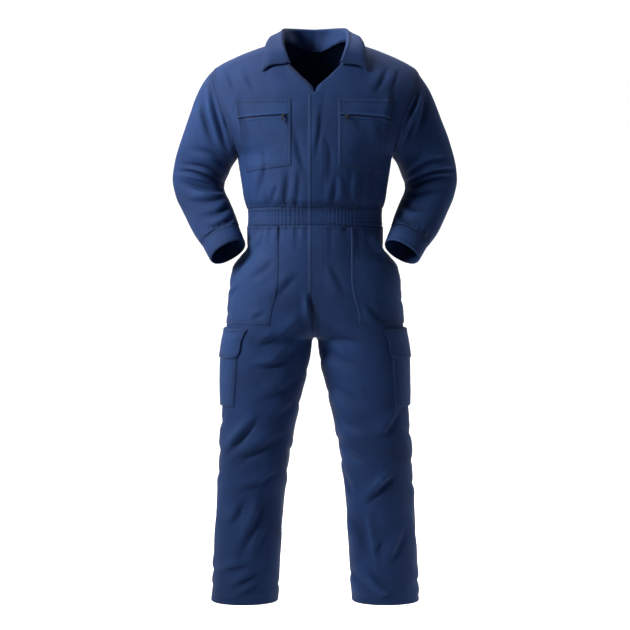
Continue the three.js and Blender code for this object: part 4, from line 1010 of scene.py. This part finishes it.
def makePlacket():
    # The placket's two rows of stitches, grooved and painted darker as shade.
    def sewnAt(u, v):
        off = mix(placket["inner"], placket["outer"], u) - placket["stitchX"]
        return np.maximum(bell(off, placket["rowWide"]), bell(off + placket["rowGap"], placket["rowWide"]))

    def strip(name, place, length, seams):
        def surface(u, v):
            x = mix(placket["inner"], placket["outer"], u)
            points, normals, height = place(x, u, v)
            return points, normals, height + mix(placket["stand"], placket["sink"], u ** 1.4)

        piece = sheet(name, 1, marks(50, 2.4), marks(length, 3.4), surface, seams=seams, thick=1.3, sewnAt=sewnAt)
        dress(piece)
        return piece

    def neckEdge(x):
        return -129 + (x - 2) * np.where(x < 2, 0.4, 1.05)

    upper = strip("front_placket", lambda x, u, v: onChest(x, mix(waistTop + 0.2, neckEdge(x), v)), 290, "l")
    middle = strip("waistband_lap", lambda x, u, v: onBand(x, mix(waistBottom + 0.2, waistTop - 0.2, v)), 45, "ldu")

    def flyPlace(x, u, v):
        z = mix(waistBottom - 0.2, placket["flyBottom"], v)
        past = np.clip((placket["flyBottom"] + placket["curve"] - z) / placket["curve"], 0, 1)
        width = mix(9, placket["outer"] - placket["inner"], np.sqrt(1 - past ** 2))
        x = placket["inner"] + width * u
        both = [onLeg(side, legAngle(x, z), z) for side in (1, -1)]
        return [np.where((x < 0) if a.ndim == x.ndim else (x < 0)[..., None], b, a) for a, b in zip(*both)]

    lower = strip("fly", flyPlace, 204, "l")
    across = (placket["stitchX"] - placket["inner"]) / 50
    for piece in (upper, middle, lower):
        for u in (across, across - 0.11):
            stitchPath(piece, [(u, 0.005), (u, 0.985 if piece is upper else 0.995)])
        stitchPath(piece, [(0.07, 0.005), (0.07, 0.985 if piece is not lower else 0.93)])
    for v in (0.84, 0.862):
        stitchPath(lower, [(0.08, v), (0.86, v + 0.012)])
    bartack(lower, (0.78, 0.866), (0.97, 0.872))


chestPocket = {
    "inner": 58, "outer": 204, "outerLow": 176, "top": -147, "bottom": -316, "slope": -14,
    "lift": 1.3, "swell": 2.4, "slitFrom": 66, "slitTo": 196, "slitZ": -189.5, "slitDrop": 7,
    "groove": 2.6, "upperLip": 2.0, "lowerLip": 1.3,
}


def slitHeight(x):
    share = np.clip((np.abs(x) - chestPocket["slitFrom"]) / 130, 0, 1)
    return chestPocket["slitZ"] - chestPocket["slitDrop"] * share ** 1.6


def makeChestPockets():
    p = chestPocket
    tall = p["top"] - p["bottom"]
    slitAt = p["slitZ"] - 4 - p["bottom"]
    down = marks(tall, 3.2, extra=np.arange(slitAt - 12, slitAt + 13, 0.8))
    for side, word in sides:
        def place(u, v):
            z = mix(p["bottom"] + p["slope"] * u, p["top"], v)
            x = side * mix(p["inner"], mix(p["outerLow"], p["outer"], v), u)
            return x, z

        def surface(u, v):
            x, z = place(u, v)
            points, normals, height = onChest(x, z)
            swell = np.sin(np.pi * np.clip(u, 0, 1)) ** 0.7 * np.sin(np.pi * np.clip(v, 0, 1)) ** 0.7
            sag = 0.8 * softNoise(points / 26, 31 + side)
            off = z - slitHeight(x)
            out = np.abs(x)
            along = ease(p["slitFrom"] - 3, p["slitFrom"] + 4, out) * ease(p["slitTo"], p["slitTo"] - 8, out)
            lips = p["upperLip"] * bell(off - 4.6, 2.8) + p["lowerLip"] * bell(off + 4.4, 2.8)
            slit = along * (lips - p["groove"] * bell(off, 1.8))
            return points, normals, height + p["lift"] + p["swell"] * swell + sag * swell + slit

        piece = sheet(f"chest_pocket_{word}", side, marks(146, 3), down, surface, seams="lrdu", thick=1.1)
        dress(piece)
        sewEdges(piece, [("ld", (2.5, 8.5), 0.01, 0.99), ("ur", (2.5,), 0.01, 0.99)])
        xs = np.linspace(p["slitFrom"] + 2, p["slitTo"] - 4, 60)
        for shift in (9.5, -9.5):
            zs = slitHeight(xs) + shift
            stitchPlaces(*raisedLine(surface, place, xs, zs), 0.25)
        points, normals = raisedLine(surface, place, xs, slitHeight(xs))
        zipRun(f"chest_zip_{word}", points, normals, 4.4, 0.35, teethFrom=0.1)


def raisedLine(surface, place, xs, zs):
    # Points and normals on a patch along heights zs at distances xs from the centre.
    p = chestPocket
    v = (zs - p["bottom"]) / (p["top"] - p["bottom"])
    for _ in range(6):
        u = (xs - p["inner"]) / (mix(p["outerLow"], p["outer"], v) - p["inner"])
        v = (zs - p["bottom"] - p["slope"] * u) / (p["top"] - p["bottom"] - p["slope"] * u)
    points, normals, height = surface(u, v)
    return points + normals * height[..., None], normals


hipPocket = {
    "inner": 91, "innerBottom": 112, "bottom": -716, "mouthTopX": 141, "mouthBottomZ": -556, "open": 10,
    "lift": 1.5,
}


def makeHipPockets():
    p = hipPocket

    def angleAt(u, z):
        innerX = mix(p["inner"], p["innerBottom"], ease(-600, p["bottom"], z))
        slant = np.clip((waistBottom - z) / (waistBottom - p["mouthBottomZ"]), 0, 1)
        top = legAngle(np.array(float(p["mouthTopX"])), np.array(float(waistBottom)))
        return mix(legAngle(innerX, z), mix(top, np.pi - 0.006, slant ** 1.5), u)

    for side, word in sides:
        def surface(u, v):
            z = mix(waistBottom - 1, p["bottom"], v)
            mouth = ease(0.25, 1, u) * ease(-466, -510, z) * ease(-640, -560, z)
            body = np.sin(np.pi * np.clip(u, 0, 1)) * ease(-466, -540, z) * ease(-712, -620, z)
            beside = ease(0.6, 1, u) * ease(-560, -590, z) * 0.4
            points, normals, height = onLeg(side, angleAt(u, z), z)
            stand = p["open"] * np.maximum(mouth * (1 - beside), body * 0.5)
            return points, normals, height + p["lift"] + stand

        piece = sheet(f"hip_pocket_{word}", -side, marks(150, 3.2), marks(252, 3.4), surface, seams="lrdu", thick=1.2)
        dress(piece)
        sewEdges(piece, [("l", (2.5, 8.5), 0.005, 0.99), ("u", (2.5, 8.5), 0.02, 0.97), ("r", (2.5, 9), 0.01, 0.42)])


cargo = {
    "from": 128, "to": 232, "top": -742, "bottom": -926, "bulge": 7, "lift": 1.6,
    "flapFrom": 124, "flapTo": 236, "flapTop": -727, "flapBottom": -803, "corner": 26, "flapWidth": 215,
}


def cargoStand(degrees, z):
    across = np.clip((degrees - cargo["from"]) / (cargo["to"] - cargo["from"]), 0, 1)
    down = np.clip((z - cargo["bottom"]) / (cargo["top"] - cargo["bottom"]), 0, 1)
    round = np.sin(np.pi * across) ** 0.6 * np.sin(np.pi * mix(0.12, 0.86, down)) ** 0.7
    return cargo["lift"] + cargo["bulge"] * round


def makeCargoPockets():
    c = cargo
    for side, word in sides:
        def pocket(u, v):
            degrees, z = mix(c["from"], c["to"], u), mix(c["top"], c["bottom"], v)
            points, normals, height = onLeg(side, np.radians(degrees), z)
            return points, normals, height * 0.8 + cargoStand(degrees, z) + 0.7 * softNoise(points / 24, 41 + side)

        piece = sheet(f"cargo_pocket_{word}", -side, marks(215, 3.6), marks(184, 3.6), pocket, seams="lrd", thick=1.2)
        dress(piece)
        sewEdges(piece, [("lr", (2.5, 8.5), 0.35, 0.99), ("u", (2.5, 8.5), 0.01, 0.99)])

        def flap(u, v):
            degrees = mix(c["flapFrom"], c["flapTo"], u)
            fromEnd = np.minimum(u, 1 - u) * c["flapWidth"]
            past = 1 - np.clip(fromEnd / c["corner"], 0, 1)
            low = c["flapBottom"] + c["corner"] * (1 - np.sqrt(1 - past ** 2))
            z = mix(c["flapTop"], low, v)
            points, normals, height = onLeg(side, np.radians(degrees), z)
            over = cargoStand(degrees, np.minimum(z, c["top"])) + 2.4 + 1.2 * ease(0.5, 1, v)
            return points, normals, height * 0.8 + over + 0.5 * softNoise(points / 24, 45 + side)

        piece = sheet(f"cargo_flap_{word}", -side, marks(222, 3.4), marks(76, 3), flap, seams="lrdu", thick=1.8)
        dress(piece)
        sewEdges(piece, [("lr", (2.5, 8.5), 0.12, 0.9), ("u", (2.5, 8.5), 0.05, 0.95), ("d", (2.5, 8.5), 0.02, 0.98)])


stitch = {"length": 3.9, "gap": 1.3, "thick": 0.4, "proud": 0.05}
stitches = {"upper": [], "lower": []}


def onPiece(piece, u, v):
    # A point and normal on a finished panel by bilinear interpolation.
    points, normals = piece["points"], piece["normals"]
    if piece["tube"]:
        points = np.concatenate([points, points[:, :1]], 1)
        normals = np.concatenate([normals, normals[:, :1]], 1)
    a = np.interp(u, piece["uMarks"], np.arange(len(piece["uMarks"])))
    b = np.interp(v, piece["vMarks"], np.arange(len(piece["vMarks"])))
    i = np.clip(a.astype(int), 0, points.shape[1] - 2)
    j = np.clip(b.astype(int), 0, points.shape[0] - 2)
    s, t = (a - i)[..., None], (b - j)[..., None]
    blend = lambda grid: mix(mix(grid[j, i], grid[j, i + 1], s), mix(grid[j + 1, i], grid[j + 1, i + 1], s), t)
    return blend(points), unit(blend(normals))


def stitchPath(piece, path):
    path = np.array(path, float)
    ts = np.linspace(0, 1, 400)
    where = np.interp(ts, np.linspace(0, 1, len(path)), np.arange(len(path)))
    u = np.interp(where, np.arange(len(path)), path[:, 0])
    v = np.interp(where, np.arange(len(path)), path[:, 1])
    low, high = piece["uMarks"], piece["vMarks"]
    stitchPlaces(*onPiece(piece, mix(low[0], low[-1], u), mix(high[0], high[-1], v)))


def edgeStitch(piece, edge, distances, start, end):
    # Rows of topstitching at set distances from an edge of a panel.
    gap = piece["edges"][edge]
    uMarks, vMarks = piece["uMarks"][:gap.shape[1]], piece["vMarks"]
    for distance in distances:
        if edge in "lr":
            at = [np.interp(distance, row if edge == "l" else row[::-1], uMarks if edge == "l" else uMarks[::-1])
                  for row in gap]
            u, v = np.array(at), vMarks
            share = (vMarks - vMarks[0]) / (vMarks[-1] - vMarks[0])
        else:
            at = [np.interp(distance, column if edge == "d" else column[::-1],
                            vMarks if edge == "d" else vMarks[::-1]) for column in gap.T]
            u, v = uMarks, np.array(at)
            share = (uMarks - uMarks[0]) / (uMarks[-1] - uMarks[0])
        keep = (share >= start) & (share <= end)
        points, normals = onPiece(piece, u[keep], v[keep])
        if piece["tube"] and edge in "du":
            points, normals = np.concatenate([points, points[:1]]), np.concatenate([normals, normals[:1]])
        stitchPlaces(points, normals)


def stitchPlaces(points, normals, lift=0.0):
    lengths = np.concatenate([[0], np.cumsum(np.linalg.norm(np.diff(points, axis=0), axis=1))])
    pitch = stitch["length"] + stitch["gap"]
    starts = np.arange(pitch / 2, lengths[-1] - pitch, pitch)
    rows = []
    for at in (starts, starts + stitch["length"] / 2, starts + stitch["length"]):
        spot = np.stack([np.interp(at, lengths, points[:, k]) for k in range(3)], -1)
        normal = unit(np.stack([np.interp(at, lengths, normals[:, k]) for k in range(3)], -1))
        rows.append((spot + normal * lift, normal))
    if len(starts):
        group = "upper" if points[:, 2].mean() > waistBottom else "lower"
        stitches[group].append(rows)


def makeStitches():
    # Every stitch is a short bowed thread whose ends sink into the cloth.
    for group, runs in stitches.items():
        spots = [np.concatenate([run[k][0] for run in runs]) for k in range(3)]
        normals = [np.concatenate([run[k][1] for run in runs]) for k in range(3)]
        along = unit(spots[2] - spots[0])
        thick = stitch["thick"]
        rings = []
        for k, (out, wide) in enumerate(((-0.25, 0.55), (stitch["proud"], 1.0), (-0.25, 0.55))):
            across = unit(np.cross(along, normals[k]))
            centre = spots[k] + normals[k] * out
            for a, b in ((1, 0), (0, 1), (-1, 0), (0, -1)):
                rings.append(centre + (across * a + normals[k] * b) * thick * wide)
        vertices = np.stack(rings, 1)
        count = len(vertices)
        local = []
        for r in (0, 4):
            local += [(r + i, r + (i + 1) % 4, r + 4 + (i + 1) % 4, r + 4 + i) for i in range(4)]
        local += [(3, 2, 1, 0), (8, 9, 10, 11)]
        faces = (np.array(local)[None] + (np.arange(count) * 12)[:, None, None]).reshape(-1, 4)
        made = meshObject(f"topstitching_{group}", vertices.reshape(-1, 3) * mm, faces, thread)
        fixTo(made)
        print("stitches", group, count)


def bartack(piece, start, end):
    # A dense zigzag bar over the end of a seam.
    (u0, v0), (u1, v1) = start, end
    ts = np.linspace(0, 1, 22)
    shift = np.where(np.arange(22) % 2 == 0, -0.004, 0.004)
    points, normals = onPiece(piece, mix(u0, u1, ts), mix(v0, v1, ts) + shift)
    for i in range(21):
        a, b = points[i], points[i + 1]
        rows = [(mix(a, b, t)[None] + normals[i] * 0.3, normals[i][None]) for t in (0, 0.5, 1)]
        stitches["lower"].append(rows)


def zipRun(name, points, normals, width, lift, teethFrom=0.0):
    # A zip's tape along a line, with its coil on the middle.
    along = unit(np.gradient(points, axis=0))
    across = unit(np.cross(normals, along))
    centre = points + normals * lift
    count = len(points)
    section = ((-1, 0.25), (1, 0.25), (1, -0.35), (-1, -0.35))
    corners = [centre + across * a * width / 2 + normals * b for a, b in section]
    vertices = np.stack(corners, 1).reshape(-1, 3)
    faces = []
    for i in range(count - 1):
        faces += [(4 * i + k, 4 * i + (k + 1) % 4, 4 * i + 4 + (k + 1) % 4, 4 * i + 4 + k) for k in range(4)]
    faces += [(3, 2, 1, 0), tuple(4 * count - 4 + k for k in range(4))]
    made = meshObject(f"{name}_tape", vertices * mm, faces, tape, smooth=False)
    fixTo(made)
    lengths = np.concatenate([[0], np.cumsum(np.linalg.norm(np.diff(points, axis=0), axis=1))])
    at = np.arange(lengths[-1] * teethFrom, lengths[-1] - 1, 1.1)
    get = lambda rows: np.stack([np.interp(at, lengths, rows[:, k]) for k in range(3)], -1)
    spot, out, side, ahead = get(centre), unit(get(normals)), unit(get(across)), unit(get(along))
    lean = np.where(np.arange(len(at)) % 2 == 0, 1.0, -1.0)[:, None]
    cubes = []
    for a, b, c in ((-1, 0, 0), (1, 0, 0), (1, 0, 1), (-1, 0, 1), (-1, 1, 0), (1, 1, 0), (1, 1, 1), (-1, 1, 1)):
        cubes.append(spot + side * (a * 0.8 + 0.35 * lean) + out * (0.2 + 0.75 * b) + ahead * (c * 0.62))
    vertices = np.stack(cubes, 1)
    local = np.array([(0, 1, 2, 3), (7, 6, 5, 4), (0, 4, 5, 1), (1, 5, 6, 2), (2, 6, 7, 3), (3, 7, 4, 0)])
    faces = (local[None] + (np.arange(len(at)) * 8)[:, None, None]).reshape(-1, 4)
    made = meshObject(f"{name}_coil", vertices.reshape(-1, 3) * mm, faces, coil, smooth=False)
    fixTo(made)


neckZip = {"fromRow": 9.05, "toRow": 11.5, "out": 4, "width": 6.5}


def makeNeckZip():
    # The open end of the front zip, turned out along the neck edge of the wearer's right front.
    v = np.linspace(neckZip["fromRow"], neckZip["toRow"], 40) / (bodiceRowCount - 1)
    form = lambda u, v: bodiceForm(-1, -1, u, v)
    u = np.full(v.shape, neckZip["out"] / 250)
    points, normals, height = clothSurface(form, -1, "bodice", u, v)
    zipRun("neck_zip", points + normals * height[..., None], normals, neckZip["width"], 0.7)


def makeHardware():
    for _, word in sides:
        for kind in ("zip_slider", "zip_pull"):
            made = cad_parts[f"{kind}_{word}"]
            made.data.materials.clear()
            made.data.materials.append(gunmetal)


stage = {"below": 0.14, "wide": 14.0, "back": 4.2, "tall": 6.0, "bend": 1.6, "steps": 12}  # metres


def makeStage():
    # A white paper sweep: floor, curve and wall in one sheet.
    low, wide, back = hem * mm - stage["below"], stage["wide"], stage["back"]
    bend, steps = stage["bend"], stage["steps"]
    profile = [(-wide, low), (back - bend, low)]
    for i in range(1, steps + 1):
        angle = math.pi / 2 * i / steps
        profile.append((back - bend + bend * math.sin(angle), low + bend - bend * math.cos(angle)))
    profile.append((back, low + stage["tall"]))
    vertices = [(x, y, z) for y, z in profile for x in (-wide, wide)]
    faces = [(2 * i, 2 * i + 1, 2 * i + 3, 2 * i + 2) for i in range(len(profile) - 1)]
    meshObject("paper_sweep", vertices, faces, paper)


lighting = {
    "key": {"at": (-2.35, -1.2, 1.1), "aim": (0, 0, -0.22), "size": (0.9, 1.3), "power": 15.5, "colour": "fffaf2",
            "spread": 50},
    "fill": {"at": (3.4, -2.4, 0.4), "aim": (0, 0, -0.3), "size": (2.4, 2.4), "power": 9, "colour": "eef3ff",
             "spread": 180},
    "top": {"at": (-0.8, 0.4, 2.6), "aim": (0, 0, -0.4), "size": (2.0, 1.6), "power": 14, "colour": "ffffff",
            "spread": 180},
    "wall": {"at": (0, 1.3, 2.4), "aim": (0, 4.2, -0.4), "size": (5.0, 1.6), "power": 160, "colour": "ffffff",
             "spread": 180},
    "floor": {"at": (0, 1.6, 2.0), "aim": (0, 1.7, -1.5), "size": (5.0, 2.2), "power": 90, "colour": "ffffff",
              "spread": 90},
    "world": 0.055,
}


def makeLights():
    for name in ("key", "fill", "top", "wall", "floor"):
        look = lighting[name]
        light = bpy.data.lights.new(name, "AREA")
        light.shape = "RECTANGLE"
        light.size, light.size_y = look["size"]
        light.energy = look["power"]
        light.spread = math.radians(look["spread"])
        light.color = linear(look["colour"])[:3]
        lamp = bpy.data.objects.new(name, light)
        lamp.location = look["at"]
        lamp.rotation_euler = (Vector(look["aim"]) - Vector(look["at"])).to_track_quat("-Z", "Y").to_euler()
        collection.objects.link(lamp)
    world = bpy.data.worlds.new("studio")
    bpy.context.scene.world = world
    world.use_nodes = True
    world.node_tree.nodes["Background"].inputs["Color"].default_value = (1, 1, 1, 1)
    world.node_tree.nodes["Background"].inputs["Strength"].default_value = lighting["world"]


cameraPlace = {"distance": 4.2, "height": -0.54, "aimHeight": -0.694, "lens": 92.6}


def makeCamera():
    camera = bpy.data.cameras.new("camera")
    camera.sensor_width = 36
    camera.lens = cameraPlace["lens"]
    holder = bpy.data.objects.new("camera", camera)
    holder.location = (0, -cameraPlace["distance"], cameraPlace["height"])
    aim = Vector((0, 0, cameraPlace["aimHeight"]))
    holder.rotation_euler = (aim - holder.location).to_track_quat("-Z", "Y").to_euler()
    collection.objects.link(holder)
    bpy.context.scene.camera = holder


makeCamera()
makeBodice()
print("bodice sewn")
makeWaistband()
makeTrousers()
print("trousers sewn")
makeSleeves()
makeCollar()
print("sleeves and collar sewn")
makePlacket()
makeChestPockets()
makeHipPockets()
makeCargoPockets()
print("pockets sewn")
makeNeckZip()
makeStitches()
makeHardware()
makeStage()
makeLights()
bpy.context.scene.view_settings.view_transform = "Standard"
for name, piece in pieces.items():
    mesh = piece["object"].data
    print(name, len(mesh.polygons) * 2, round(sum(p.area for p in mesh.polygons) / 2, 4))

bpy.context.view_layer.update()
